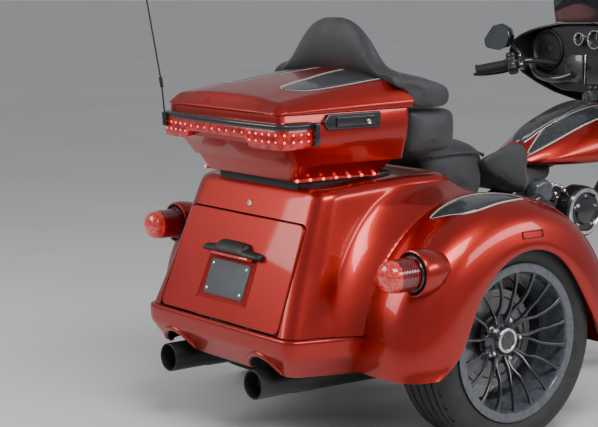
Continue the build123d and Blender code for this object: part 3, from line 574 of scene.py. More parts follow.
def arm_ring(reach, off, along, width, deep, way):
    """Rounded section of a spoke: off to the side of the radius, along the axle."""
    wide, high = width / 2, deep / 2
    soft = min(wide, high) * 0.45
    corners = (
        (-wide, -high + soft), (-wide + soft, -high), (wide - soft, -high), (wide, -high + soft),
        (wide, high - soft), (wide - soft, high), (-wide + soft, high), (-wide, high - soft),
    )
    return [(reach - side * math.sin(way), along + up, off + side * math.cos(way)) for side, up in corners]


# one arm of a forked spoke: reach, off the fork's middle, along the axle, width, depth
ARM = (
    (0.046, 0.0034, -0.022, 0.01, 0.024), (0.07, 0.004, -0.036, 0.01, 0.021),
    (0.09, 0.0052, -0.047, 0.0098, 0.018), (0.104, 0.011, -0.056, 0.0092, 0.016),
    (0.122, 0.02, -0.067, 0.009, 0.014), (0.15, 0.0264, -0.079, 0.0092, 0.013),
    (0.186, 0.0328, -0.086, 0.0096, 0.012), (0.208, 0.0366, -0.088, 0.014, 0.012),
    (0.221, 0.0392, -0.089, 0.027, 0.013),
)
FORKS = 9


def make_arms(name, scale, flat):
    """All the forked spokes of a wheel; flat pulls them to the wheel's middle plane."""
    arms = []
    for turn in (-1, 1):
        rings = []
        for index, (reach, off, along, width, deep) in enumerate(ARM):
            nearby = ARM[min(index + 1, len(ARM) - 1)], ARM[max(index - 1, 0)]
            way = math.atan2(nearby[0][1] - nearby[1][1], nearby[0][0] - nearby[1][0]) * turn
            at, thick = along * (1 - flat), deep * (1 + flat)
            rings.append(arm_ring(reach * scale, off * turn * scale, at, width, thick, way))
        arms.append(solid("arm", rings))
    arms = join(name, arms)
    ring_of(arms, FORKS)
    bevel(arms, 0.0012, 35)
    return smooth(arms, 45)


def make_barrel(name, half, bead, lip, broad):
    """Rim with a drop centre; broad is the width of the polished lip on the outer face."""
    profile = [
        (-half, lip), (-half + 0.0065, lip), (-half + 0.0085, bead - 0.0005), (-half * 0.35, bead - 0.006),
        (0, bead - 0.022), (half * 0.35, bead - 0.006), (half - 0.0085, bead - 0.0005), (half - 0.0065, lip),
        (half, lip), (half + 0.0003, lip - 0.004), (half - 0.001, lip - broad * 0.7),
        (half - 0.006, bead - 0.011), (half * 0.4, bead - 0.018), (0, bead - 0.031),
        (-half * 0.4, bead - 0.018), (-half + 0.016, bead - 0.014), (-half + 0.006, lip - broad - 0.003),
        (-half + 0.0016, lip - broad), (-half - 0.0003, lip - 0.005),
    ]
    return smooth(spin(name, profile, 96))


def make_hub(name, profile):
    return smooth(bevel(spin(name, profile, 48), 0.0012, 30))


def make_lugs(name, count, reach, along, size):
    """Wheel nuts: a hexagon with a chamfered dome on a round seat."""
    across = (math.radians(90), 0, 0)
    seat = cylinder(24, size * 0.74, 0.004, (reach, along + 0.002, 0), across)
    nut = cylinder(6, size * 0.6, 0.014, (reach, along - 0.007, 0), across)
    modify(nut, "BEVEL", width=0.0016, segments=2, limit_method="ANGLE")
    clear()
    bpy.ops.mesh.primitive_uv_sphere_add(
        segments=16, ring_count=8, radius=size * 0.45, location=(reach, along - 0.013, 0)
    )
    bpy.ops.object.transform_apply()
    lugs = join(name, [seat, nut, bpy.context.object])
    ring_of(lugs, count)
    return smooth(lugs)


REAR_WHEEL = (0.0, -0.555, 0.325)
REAR_HUB = (
    (0.062, 0.0184), (0.062, 0.042), (0.024, 0.046), (0.008, 0.054), (-0.008, 0.076), (-0.028, 0.078),
    (-0.034, 0.075), (-0.036, 0.046), (-0.044, 0.041), (-0.05, 0.038), (-0.05, 0.0), (-0.018, 0.0),
    (-0.018, 0.0184),
)
CAP_RING = ((-0.049, 0.0395), (-0.056, 0.0395), (-0.058, 0.037), (-0.058, 0.031), (-0.056, 0.029), (-0.049, 0.029))
CAP_FACE = (
    (-0.049, 0.0295), (-0.0545, 0.029), (-0.055, 0.0215), (-0.0565, 0.0205), (-0.057, 0.012), (-0.0555, 0.011),
    (-0.0565, 0.0), (-0.049, 0.0),
)
REAR_DISC = (
    (0.006, 0.05), (0.006, 0.126), (0.0, 0.13), (0.0, 0.152), (0.006, 0.152), (0.0075, 0.15), (0.0075, 0.132),
    (0.011, 0.132), (0.011, 0.15), (0.013, 0.152), (0.018, 0.152), (0.018, 0.126), (0.012, 0.122),
    (0.012, 0.05),
)


def make_rear_wheel():
    """The right rear wheel's pieces round its own middle: finished name, slot, look and the node it stands for."""
    grooves = (-0.05, -0.017, 0.017, 0.05)
    tyre = make_tyre("rear_tyre_tread_right", 0.325, 0.1075, 0.228, 0.246, 0.1, grooves)
    barrel = make_barrel("rear_rim_barrel_right", 0.1, 0.228, 0.246, 0.026)
    return (
        (tyre, "tyre_rubber", None, ["rear_tyre_right"]),
        (barrel, "wheel_black", "lip_black", ["rear_rim_right"]),
        (make_arms("rear_arms_right", 1.0, 0.0), "wheel_black", None, []),
        (make_hub("rear_hub_right", REAR_HUB), "wheel_black", None, []),
        (smooth(spin("rear_disc_right", REAR_DISC, 64), 30), "disc_steel", None, []),
        (smooth(spin("rear_cap_ring_right", CAP_RING, 40), 60), "disc_steel", "polished_steel", []),
        (smooth(spin("rear_cap_face_right", CAP_FACE, 40)), "wheel_black", None, []),
        (make_lugs("rear_lugs_right", 5, 0.062, -0.035, 0.0125), "disc_steel", "polished_steel", []),
    )


for piece, slot, look, nodes_of in make_rear_wheel():
    move(piece, *REAR_WHEEL)
    twin = other_side(piece)
    place(piece, "rear_wheel_right", slot, nodes_of, look)
    place(twin, "rear_wheel_left", slot, [name.replace("_right", "_left") for name in nodes_of], look)

FRONT_WHEEL = (1.67, 0.0, 0.319)
FRONT_HUB = (
    (-0.06, 0.0112), (-0.06, 0.03), (-0.04, 0.036), (-0.028, 0.05), (0.028, 0.05), (0.04, 0.036), (0.06, 0.03),
    (0.06, 0.0112),
)
front_tyre = make_tyre("front_tyre_tread", 0.319, 0.065, 0.238, 0.252, 0.052, (-0.018, 0.018))
for piece, slot, look, nodes_of in (
    (front_tyre, "tyre_rubber", None, ["front_tyre"]),
    (make_barrel("front_rim_barrel", 0.052, 0.238, 0.252, 0.018), "wheel_black", "lip_black", ["front_rim"]),
    (make_arms("front_arms", 1.035, 1.0), "wheel_black", None, []),
    (make_hub("front_hub", FRONT_HUB), "wheel_black", None, []),
):
    move(piece, *FRONT_WHEEL)
    place(piece, "front_wheel", slot, nodes_of, look)

# ---------------------------------------------------------------- fenders
# angle over the axle from the rear, crown radius, radius of the wheel opening
FENDER_SWEEP = (
    (-7.0, 0.455, 0.352), (-3.0, 0.455, 0.306), (1.0, 0.456, 0.28), (8.0, 0.456, 0.261), (23.0, 0.456, 0.25),
    (42.0, 0.456, 0.26), (59.0, 0.456, 0.274), (78.0, 0.457, 0.292), (97.0, 0.458, 0.303), (115.0, 0.46, 0.301),
    (130.0, 0.463, 0.29), (145.0, 0.463, 0.283), (158.0, 0.461, 0.289), (170.0, 0.459, 0.307),
    (180.0, 0.457, 0.33), (188.0, 0.455, 0.36),
)
# off the middle plane, fall below the crown
FENDER_ROUND = (
    (0.4, 0.014), (0.43, 0.008), (0.46, 0.004), (0.492, 0.001), (0.53, 0.0), (0.568, 0.001), (0.604, 0.008),
    (0.636, 0.024), (0.662, 0.049), (0.68, 0.082), (0.69, 0.118),
)


def fender_line(angle):
    crown, opening = blend_table(FENDER_SWEEP, angle)
    turn = math.radians(angle)
    squeeze = min(1.0, (crown - opening) / 0.15)
    line = [(crown - fall * squeeze, -y) for y, fall in FENDER_ROUND]
    low = line[-1][0]
    wall = ((0.35, 0.694), (0.7, 0.695), (0.93, 0.694))
    line += [(low + (opening + 0.004 - low) * share, -y) for share, y in wall]
    line += [(opening, -0.691), (opening - 0.001, -0.684), (opening + 0.004, -0.676)]
    return [(-r * math.cos(turn), y, WHEEL_R + r * math.sin(turn)) for r, y in line]


FENDER_STEPS = [-7, -5.5, -3, 1, 8] + list(range(16, 179, 9)) + [184, 187, 188]


def make_fender():
    fender = skin("fender_shell_right", [fender_line(step) for step in FENDER_STEPS])
    refine(fender, 2, **OPEN_EDGE)
    return smooth(thicken(fender, SHELL, -1), 40)


fender_right = make_fender()
fender_left = other_side(fender_right)
place(fender_right, "chassis", "candy_paint", ["fender_right"])
place(fender_left, "chassis", "candy_paint", ["fender_left"])

# ---------------------------------------------------------------- rear body
# height, half-width at the rear corner, at the widest place, at the front, front edge
BODY_RISE = (
    (0.375, 0.384, 0.438, 0.4, 0.045), (0.44, 0.371, 0.408, 0.388, 0.052), (0.5, 0.36, 0.386, 0.374, 0.056),
    (0.56, 0.35, 0.37, 0.362, 0.06), (0.66, 0.339, 0.35, 0.346, 0.064), (0.76, 0.328, 0.335, 0.33, 0.06),
    (0.812, 0.322, 0.328, 0.322, 0.03),
)
# the rear face: place along the trike and height of its foot, and how far it leans forward as it rises
REAR_FOOT = -0.662
FACE_FOOT = 0.375
REAR_LEAN = 0.378


def rear_x(z):
    return REAR_FOOT + REAR_LEAN * (z - FACE_FOOT)


def body_line(z, pinch, sink):
    """The body's outline at one height; pinch draws the edge in and sink lowers it, for the roof's rounding."""
    rear, middle, front, nose = blend_table(BODY_RISE, z)
    back = rear_x(z) + pinch * 0.5
    rear, middle, front, nose = rear - pinch, middle - pinch, front - pinch, nose - pinch
    half = [
        (back, 0.0), (back, 0.15), (back, rear - 0.066), (back + 0.001, rear - 0.054),
        (back + 0.006, rear - 0.034), (back + 0.018, rear - 0.014), (back + 0.038, rear - 0.001),
    ]
    side = ((-0.6, rear + 0.002), (-0.43, middle), (-0.21, middle + (front - middle) * 0.4), (nose - 0.07, front))
    start, stop = back + 0.064, nose - 0.07
    for share in (0.0, 0.1, 0.24, 0.4, 0.58, 0.78, 1.0):
        x = start + (stop - start) * share
        half.append((x, max(blend_table(side, x)[0], rear - 0.001)))
    half += [
        (nose - 0.03, front - 0.01), (nose - 0.006, front - 0.036), (nose, front - 0.08), (nose, 0.15),
        (nose, 0.0),
    ]
    right = [(x, -y, z - sink) for x, y in half]
    return right + mirrored(right)[:-1]


def flare(piece):
    """Carries the body's side out to the fender in a hollow curve round the wheel."""
    for vert in piece.data.vertices:
        x, y, z = vert.co
        reach = math.hypot(x, z - WHEEL_R)
        if abs(y) < 0.25 or z > 0.79 or reach > 0.62:
            continue
        near = max(0.0, (0.532 - max(reach, 0.42)) / 0.086)
        fade = min(1.0, (0.79 - z) / 0.05)
        foot = 0.455 if reach > 0.42 else 0.47
        vert.co.y += math.copysign(max(0.0, foot - abs(y)) * min(1.0, near**1.8) * fade, y)
    piece.data.update()


def make_body():
    heights = [(z, 0, 0) for z in (0.375, 0.379, 0.4, 0.44, 0.5, 0.56, 0.62, 0.68, 0.73, 0.755, 0.77)]
    heights += [(0.782, 0.003, 0), (0.791, 0.011, 0.001), (0.7945, 0.022, 0), (0.7955, 0.036, 0)]
    heights += [(0.796, 0.048, 0.003), (0.796, 0.056, 0.004), (0.796, 0.09, 0.004)]
    body = skin("rear_body_shell", [body_line(*row) for row in heights], closed=True, end_cap=True, crease_caps=False)
    refine(body, 3)
    for vert in body.data.vertices:
        lift = max(0.0, vert.co.z - 0.7) / 0.096
        vert.co.z += lift * min(0.02, max(-0.004, (vert.co.x + 0.5) * 0.055))
    flare(body)
    return body


def rounded(corners, radius, steps):
    """Outline with each corner rounded, the same count of points at each."""
    points = []
    for index, corner in enumerate(corners):
        here = Vector(corner)
        before = (Vector(corners[index - 1]) - here).normalized()
        after = (Vector(corners[(index + 1) % len(corners)]) - here).normalized()
        bend = before.angle(after)
        setback = radius / math.tan(bend / 2)
        centre = here + (before + after).normalized() * (radius / math.sin(bend / 2))
        start = (here + before * setback - centre).normalized()
        stop = (here + after * setback - centre).normalized()
        for step in range(steps + 1):
            points.append(centre + start.slerp(stop, step / steps) * radius)
    return points


LEAN = math.atan(REAR_LEAN)
DOOR_HEIGHT = 0.342
DOOR_ROUND = 0.022


def on_face(up, left, out):
    """A point on the leaning rear face: up the slope from the door's foot, to the left, and out of it."""
    return Vector(
        (
            REAR_FOOT + up * math.sin(LEAN) - out * math.cos(LEAN),
            left,
            FACE_FOOT + up * math.cos(LEAN) + out * math.sin(LEAN),
        )
    )


def face_ring(corners, radius, out):
    """A rounded outline on the rear face, its corners given as (up, left)."""
    flat = rounded([(up, left, 0) for up, left in corners], radius, 5)
    return [on_face(point.x, point.y, out) for point in flat]


def door_ring(inset, out):
    corners = (
        (0.003 + inset, -0.31 + inset), (DOOR_HEIGHT - inset, -0.292 + inset),
        (DOOR_HEIGHT - inset, 0.292 - inset), (0.003 + inset, 0.31 - inset),
    )
    return face_ring(corners, DOOR_ROUND - inset, out)


def recess_ring(inset, out):
    corners = (
        (0.058 + inset, -0.128 + inset), (0.21 - inset, -0.122 + inset), (0.21 - inset, 0.122 - inset),
        (0.058 + inset, 0.128 - inset),
    )
    return face_ring(corners, 0.006, out)


def make_door():
    edge = ((0.0, -0.022), (0.0, -0.003), (0.0012, 0.0), (0.004, 0.0018), (0.01, 0.0018))
    recess = ((-0.008, 0.0018), (0.0, 0.0018), (0.002, 0.0002), (0.012, -0.026), (0.014, -0.027))
    rings = [door_ring(*row) for row in edge] + [recess_ring(*row) for row in recess]
    return cleaned(solid("trunk_door_panel", rings), 30)


def make_body_opening():
    """The hole that the door closes, for cutting out of the body."""
    top = DOOR_HEIGHT + 0.004
    corners = ((-0.012, -0.3145), (top, -0.2965), (top, 0.2965), (-0.012, 0.3145))
    rings = [face_ring(corners, DOOR_ROUND, out) for out in (-0.05, 0.05)]
    return skin("door_opening", rings, closed=True, start_cap=True, end_cap=True)


body_shell = make_body()
cut_out(body_shell, make_body_opening())
place(smooth(thicken(body_shell, SHELL, -1), 40), "chassis", "candy_paint", ["rear_body"])
place(make_door(), "door", "candy_paint", ["trunk_door"])

# ---------------------------------------------------------------- top box
# height, rear face, half-width at the rear, front face, half-width at the front
BOX_RISE = (
    (0.8185, -0.533, 0.222, -0.196, 0.238), (0.822, -0.536, 0.226, -0.194, 0.242),
    (0.864, -0.5525, 0.2505, -0.168, 0.27), (0.8655, -0.553, 0.251, -0.166, 0.271),
    (0.8675, -0.561, 0.263, -0.14, 0.288), (0.87, -0.5625, 0.264, -0.138, 0.29),
    (0.918, -0.598, 0.281, -0.13, 0.294), (0.935, -0.63, 0.296, -0.127, 0.298),
    (0.99, -0.634, 0.3, -0.126, 0.302), (1.008, -0.636, 0.29, -0.126, 0.302),
    (1.026, -0.637, 0.288, -0.126, 0.302),
)


def box_ring(z, back, half_back, front, half_front):
    corners = ((back, -half_back, z), (back, half_back, z), (front, half_front, z), (front, -half_front, z))
    return rounded(corners, 0.024, 6)


def make_box_base():
    base = skin("box_shell", [box_ring(*row) for row in BOX_RISE], closed=True, start_cap=True, crease_caps=False)
    return smooth(bevel(thicken(base, 0.005, -1), 0.0025, 28), 30)


# along the lid: half-width at its foot, crease off the middle, crease height, height in the middle
LID_RUN = (
    (-0.645, 0.262, 0.256, 1.033, 1.0345), (-0.642, 0.274, 0.264, 1.036, 1.038),
    (-0.63, 0.287, 0.262, 1.047, 1.052), (-0.616, 0.294, 0.255, 1.06, 1.072),
    (-0.612, 0.296, 0.253, 1.063, 1.0765), (-0.605, 0.297, 0.253, 1.065, 1.08),
    (-0.56, 0.301, 0.256, 1.071, 1.089), (-0.45, 0.303, 0.261, 1.087, 1.108),
    (-0.3, 0.304, 0.263, 1.102, 1.127), (-0.182, 0.304, 0.262, 1.112, 1.139),
    (-0.122, 0.303, 0.26, 1.116, 1.143),
)
LID_FOOT = 1.029


def lid_line(x, foot, crease, rise, top):
    wall, crown = rise - LID_FOOT, top - rise
    half = [
        (foot, LID_FOOT), (foot + 0.001, LID_FOOT + wall * 0.1), (foot + 0.001, LID_FOOT + wall * 0.22),
        (foot - 0.003, LID_FOOT + wall * 0.3), (foot - 0.3 * (foot - crease), LID_FOOT + wall * 0.62),
        (crease + 0.006, rise - wall * 0.06), (crease, rise),
    ]
    half += [
        (crease - inward, rise + crown * share)
        for inward, share in ((0.008, 0.1), (0.05, 0.34), (0.075, 0.55), (0.1, 0.74), (0.16, 0.92))
    ]
    half.append((0.0, top))
    right = [(x, -y, z) for y, z in half]
    return right + mirrored(right)


def make_lid():
    lid = skin("box_lid_shell", [lid_line(*row) for row in LID_RUN])
    edit(lid)
    pick_rows(0, 0, 25)
    bpy.ops.mesh.edge_face_add()
    pick_rows(len(LID_RUN) - 1, len(LID_RUN) - 1, 25)
    bpy.ops.mesh.edge_face_add()
    bpy.ops.transform.edge_crease(value=1)
    pick("EDGE", lambda at: abs(at.x + 0.612) < 0.0005 and at.z > 1.062)
    bpy.ops.transform.edge_crease(value=0.7)
    bpy.ops.mesh.select_all(action="SELECT")
    bpy.ops.mesh.normals_make_consistent(inside=False)
    done()
    return smooth(refine(lid, 2), 32)


place(make_box_base(), "chassis", "candy_paint", ["box_base"])
place(make_lid(), "lid", "candy_paint", ["box_lid"])

# ---------------------------------------------------------------- pads and seats
# off the middle plane: top, height where it meets the lid, front face at the top and at the foot
BACKREST = (
    (0.0, 1.309, 1.15, -0.164, -0.1), (0.052, 1.306, 1.149, -0.164, -0.098),
    (0.09, 1.295, 1.147, -0.164, -0.09), (0.12, 1.281, 1.143, -0.165, -0.076),
    (0.146, 1.263, 1.138, -0.166, -0.058), (0.172, 1.239, 1.132, -0.167, -0.036),
    (0.194, 1.213, 1.126, -0.168, -0.014), (0.216, 1.185, 1.121, -0.168, 0.01),
    (0.24, 1.163, 1.115, -0.168, 0.03), (0.266, 1.151, 1.108, -0.166, 0.046),
    (0.29, 1.142, 1.098, -0.162, 0.05), (0.306, 1.122, 1.086, -0.16, 0.038),
)


def backrest_line(y, top, seat, front_top, front_foot):
    rear = -0.206
    rise = top - seat
    brow = 1.134 - 0.05 * y
    return [
        (-0.112, y, 1.03), (-0.152, y, 1.08), (-0.19, y, seat - 0.012), (rear, y, seat + 0.1 * rise),
        (rear - 0.004, y, seat + 0.45 * rise), (rear + 0.004, y, top - 0.16 * rise - 0.004),
        (rear + 0.018, y, top - 0.002), ((rear + front_top) / 2 + 0.004, y, top),
        (front_top - 0.006, y, top - 0.005),
        (front_top + 0.006, y, min(top - 0.004, top - 0.16 * rise - 0.004)),
        (front_top + 0.024, y, min(top - 0.006, brow + 0.012)),
        (front_top + (front_foot - front_top) * 0.6, y, min(top - 0.01, brow - 0.006)),
        (front_foot - 0.014, y, 1.096), (front_foot, y, 1.06), (front_foot - 0.008, y, 1.028),
        (front_foot - 0.06, y, 1.02), (-0.115, y, 1.02),
    ]


def make_backrest():
    half = [backrest_line(*row) for row in BACKREST]
    other = [[(x, -y, z) for x, y, z in line] for line in half]
    pad = solid("backrest_cushion", other[:0:-1] + half)
    edit(pad)
    pick("FACE", lambda at: abs(at.y) > 0.3049)
    bpy.ops.mesh.inset(thickness=0.012, depth=0.0)
    done()
    return cleaned(refine(pad, 2), 60)


PAD_BACK = -0.121


def lower_pad_ring(z, shrink):
    plan = (
        (PAD_BACK, -0.298), (-0.06, -0.3), (0.03, -0.302), (0.076, -0.293), (0.098, -0.266), (0.092, -0.224),
        (0.03, -0.172), (-0.024, -0.13), (-0.052, -0.06), (-0.056, 0.0),
    )
    line = []
    for x, y in plan:
        line.append((max(PAD_BACK, x - shrink), y + (shrink if y < -0.2 else 0), z))
    return line + mirrored(line) + [(PAD_BACK, 0.1, z), (PAD_BACK, -0.1, z)]


def make_lower_backrest():
    rows = (
        (0.876, 0.026), (0.88, 0.01), (0.896, 0.002), (0.94, 0.0),
        (0.985, 0.001), (1.003, 0.006), (1.012, 0.018), (1.0135, 0.04),
    )
    pad = solid("lower_backrest_pad", [lower_pad_ring(*row) for row in rows])
    return cleaned(refine(pad, 2), 60)


# along the passenger seat: half-width, foot, side height, top
PASSENGER = (
    (0.052, 0.128, 0.7, 0.808, 0.826), (0.066, 0.148, 0.694, 0.83, 0.85), (0.11, 0.164, 0.69, 0.841, 0.884),
    (0.18, 0.17, 0.686, 0.846, 0.902), (0.245, 0.168, 0.684, 0.845, 0.898), (0.3, 0.16, 0.684, 0.84, 0.884),
    (0.34, 0.142, 0.684, 0.832, 0.868), (0.372, 0.112, 0.686, 0.822, 0.848), (0.392, 0.08, 0.69, 0.806, 0.826),
    (0.4, 0.06, 0.696, 0.786, 0.8),
)
# along the rider's seat: half-width, foot, height of its wings, height of its middle
RIDER = (
    (0.3, 0.168, 0.8, 0.818, 0.8), (0.322, 0.18, 0.78, 0.842, 0.796), (0.355, 0.187, 0.758, 0.866, 0.79),
    (0.395, 0.19, 0.735, 0.888, 0.782), (0.445, 0.191, 0.712, 0.898, 0.776), (0.48, 0.191, 0.7, 0.893, 0.772),
    (0.503, 0.19, 0.692, 0.876, 0.768), (0.517, 0.188, 0.686, 0.84, 0.764), (0.528, 0.182, 0.684, 0.78, 0.76),
    (0.556, 0.156, 0.686, 0.745, 0.756), (0.6, 0.126, 0.69, 0.736, 0.756), (0.65, 0.104, 0.692, 0.738, 0.76),
    (0.7, 0.084, 0.696, 0.742, 0.766), (0.745, 0.072, 0.706, 0.754, 0.78), (0.776, 0.06, 0.722, 0.762, 0.788),
)


def seat_line(x, half, foot, side, top):
    right = [
        (x, -half * 0.55, foot), (x, -half * 0.92, foot + 0.004), (x, -half, foot + 0.02),
        (x, -half * 1.02, foot + (side - foot) * 0.6), (x, -half * 0.97, side),
        (x, -half * 0.8, side + (top - side) * 0.62), (x, -half * 0.45, side + (top - side) * 0.93),
        (x, 0, top),
    ]
    return right + mirrored(right)


def make_seat(name, run):
    return cleaned(refine(solid(name, [seat_line(*row) for row in run]), 2), 60)


CLOTH_CELL = 0.006
CLOTH_FRAMES = 20


def stuff(piece, swell):
    """Draws a pad's cover in, then blows it out as cloth, each point by no more than swell."""
    edit(piece)
    bpy.ops.mesh.select_all(action="SELECT")
    bpy.ops.transform.shrink_fatten(value=-swell * 0.6)
    done()
    piece.data.remesh_voxel_size = CLOTH_CELL
    bpy.ops.object.voxel_remesh()
    start = [vert.co.copy() for vert in piece.data.vertices]
    cloth = piece.modifiers.new("cover", "CLOTH")
    cloth.settings.use_pressure = True
    cloth.settings.uniform_pressure_force = 4.0
    cloth.settings.effector_weights.gravity = 0
    cloth.settings.quality = 4
    cloth.point_cache.frame_end = CLOTH_FRAMES
    scene = bpy.context.scene
    for frame_number in range(1, CLOTH_FRAMES + 1):
        scene.frame_set(frame_number)
    work_on(piece)
    bpy.ops.object.modifier_apply(modifier="cover")
    scene.frame_set(1)
    for vert, was in zip(piece.data.vertices, start):
        step = vert.co - was
        if step.length > swell:
            vert.co = was + step.normalized() * swell
    smooth(refine(piece, 1), 60)


pads = (
    (make_backrest(), "lid", "backrest_pad", 0.006, 0.85),
    (make_lower_backrest(), "chassis", "lower_backrest", 0.005, 0.85),
    (make_seat("passenger_cushion", PASSENGER), "chassis", "passenger_seat", 0.006, 0.75),
    (make_seat("rider_cushion", RIDER), "chassis", "rider_seat", 0.006, 0.75),
)
for pad, body, node, swell, fill in pads:
    stuff(pad, swell)
    place(pad, body, "seat_vinyl", [node])


def tube(name, points, radius, sides=12):
    """Round bar, wire or piping along a line of points."""
    run = [Vector(point) for point in points]
    up = Vector((0, 0, 1))
    turns = [2 * math.pi * step / sides for step in range(sides)]
    rings = []
    for index, at in enumerate(run):
        way = (run[min(index + 1, len(run) - 1)] - run[max(index - 1, 0)]).normalized()
        if abs(way.dot(up)) > 0.97:
            up = Vector((0, 1, 0))
        side = way.cross(up).normalized()
        rise = side.cross(way).normalized()
        rings.append([at + (side * math.cos(turn) + rise * math.sin(turn)) * radius for turn in turns])
    return cleaned(solid(name, rings), 50)


def curve_through(points, count):
    """Smooth line through a few points."""
    run = [Vector(point) for point in points]
    line = []
    for index in range(len(run) - 1):
        before, here = run[max(index - 1, 0)], run[index]
        there, after = run[index + 1], run[min(index + 2, len(run) - 1)]
        for step in range(count):
            share = step / count
            line.append(
                here * (2 * share**3 - 3 * share**2 + 1)
                + (there - before) * 0.5 * (share**3 - 2 * share**2 + share)
                + there * (3 * share**2 - 2 * share**3)
                + (after - here) * 0.5 * (share**3 - share**2)
            )
    line.append(run[-1])
    return line


def seam_points(run, start, stop, lift):
    """Piping along the shoulder of a seat on its right, round the front and back along its left."""
    right = []
    for step in range(15):
        x = start + (stop - start) * step / 14
        half, _, side, top = blend_table(run, x)
        right.append((x, -half * 0.97 - 0.004, side + lift))
    front = [
        (stop + 0.006, -half * share, side + lift + (top - side) * (1 - share**2) * 0.8)
        for share in (0.75, 0.4, 0.0, -0.4, -0.75)
    ]
    return right + front + [(x, -y, z) for x, y, z in right[::-1]]


piping = tube("passenger_piping", seam_points(PASSENGER, 0.09, 0.376, 0.002), 0.0042, 8)
place(piping, "chassis", "seat_vinyl")

# ---------------------------------------------------------------- tail-light band
# along the band: x, off the middle plane, foot, top
BAND = (
    (-0.528, 0.3125, 0.932, 0.99), (-0.56, 0.316, 0.929, 0.991), (-0.6, 0.317, 0.927, 0.991),
    (-0.622, 0.315, 0.926, 0.991), (-0.636, 0.305, 0.926, 0.991), (-0.643, 0.288, 0.926, 0.99),
    (-0.648, 0.24, 0.926, 0.99), (-0.652, 0.185, 0.927, 0.99), (-0.653, 0.165, 0.93, 0.99),
    (-0.654, 0.148, 0.95, 0.99), (-0.655, 0.13, 0.952, 0.99), (-0.657, 0.06, 0.952, 0.99),
    (-0.657, 0.0, 0.952, 0.99),
)


def band_line(x, y, foot, top):
    inward = Vector((0.15, -1, 0) if x >= -0.63 else (1, -0.4 if y > 0.2 else 0, 0)).normalized()
    shift = inward * 0.022
    return [
        (x, y, top), (x - inward.x * 0.002, y - inward.y * 0.002, (foot + top) / 2),
        (x, y, foot), (x + shift.x, y + shift.y, foot + 0.003), (x + shift.x, y + shift.y, top - 0.003),
    ]


def make_band():
    lines = mirrored_lines([band_line(*row) for row in BAND])
    return cleaned(bevel(skin("tail_light_lens", lines, closed=True, start_cap=True, end_cap=True), 0.002, 30))


place(make_band(), "chassis", "red_lens", ["box_tail_light"])


def along_band(first, step, count):
    """Places along the right half of the band, from the middle plane round to the side."""
    run = [Vector((row[0], -row[1], 0)) for row in BAND[::-1]]
    spots = []
    for index in range(count):
        left = first + index * step
        for here, there in zip(run, run[1:]):
            reach = (there - here).length
            if left <= reach:
                spots.append(here + (there - here).normalized() * left)
                break
            left -= reach
    return spots


BEAD_R = 0.0042
spots = [(at.x, at.y, 0.969, BEAD_R) for at in along_band(0.019, 0.038, 4)]
for at in along_band(0.168, 0.029, 9):
    spots += [(at.x, at.y, 0.971, BEAD_R), (at.x, at.y, 0.95, BEAD_R)]
spots += [(x, -y, z, size) for x, y, z, size in spots]
place(beads("tail_light_beads", spots), "chassis", "red_lens", look="lit_bead")

spots = [(-0.528 + 0.05 * index, -0.2375 - 0.001 * index, 0.8215, 0.0054) for index in range(7)]
spots += [(x, -y, z, size) for x, y, z, size in spots]
place(beads("under_light_beads", spots), "chassis", "red_lens", look="lit_bead")


def make_shelf():
    """Black ledge over the tail-light band."""
    half = []
    line = [Vector((row[0], row[1], 0)) for row in BAND]
    for at, ahead in zip(line, line[1:] + [Vector((-0.657, -0.06, 0))]):
        way = (ahead - at).normalized()
        out = Vector((way.y, -way.x, 0))
        edge, inner = at + out * 0.006, at - out * 0.03
        profile = ((edge, 0.9855), (edge, 0.9985), (at, 1.004), (inner, 1.007), (inner, 0.9855))
        half.append([(spot.x, spot.y, z) for spot, z in profile])
    shelf = solid("tail_light_shelf", mirrored_lines(half))
    return cleaned(bevel(shelf, 0.0015, 30))


place(make_shelf(), "chassis", "gloss_black")


def prism(name, near, far, edge=0.0):
    """Solid between two outlines with the same count of points."""
    made = solid(name, [near, far])
    if edge:
        bevel(made, edge, 35, 3)
    return cleaned(made)


def side_outline(corners, radius, y):
    return rounded([(x, y, z) for x, z in corners], radius, 4)


LATCH = ((-0.482, 0.999), (-0.462, 0.976), (-0.258, 0.974), (-0.258, 1.024), (-0.462, 1.024))
LATCH_PAD = ((-0.436, 0.984), (-0.284, 0.983), (-0.284, 1.015), (-0.436, 1.015))
latch = prism("box_latch_plate", side_outline(LATCH, 0.006, -0.296), side_outline(LATCH, 0.006, -0.309), 0.003)
place(latch, "chassis", "gloss_black", ["box_latch"])
pad = prism("box_latch_handle", side_outline(LATCH_PAD, 0.004, -0.306), side_outline(LATCH_PAD, 0.004, -0.315), 0.003)
place(pad, "chassis", "gloss_black")
KEYHOLE = (
    (-0.3135, 0.0), (-0.3175, 0.0), (-0.3175, 0.003), (-0.316, 0.0034),
    (-0.318, 0.006), (-0.3175, 0.0075), (-0.3135, 0.0078),
)
keyhole = move(spin("box_latch_lock", KEYHOLE, 28), x=-0.312, z=0.995)
place(keyhole, "chassis", *STEEL)

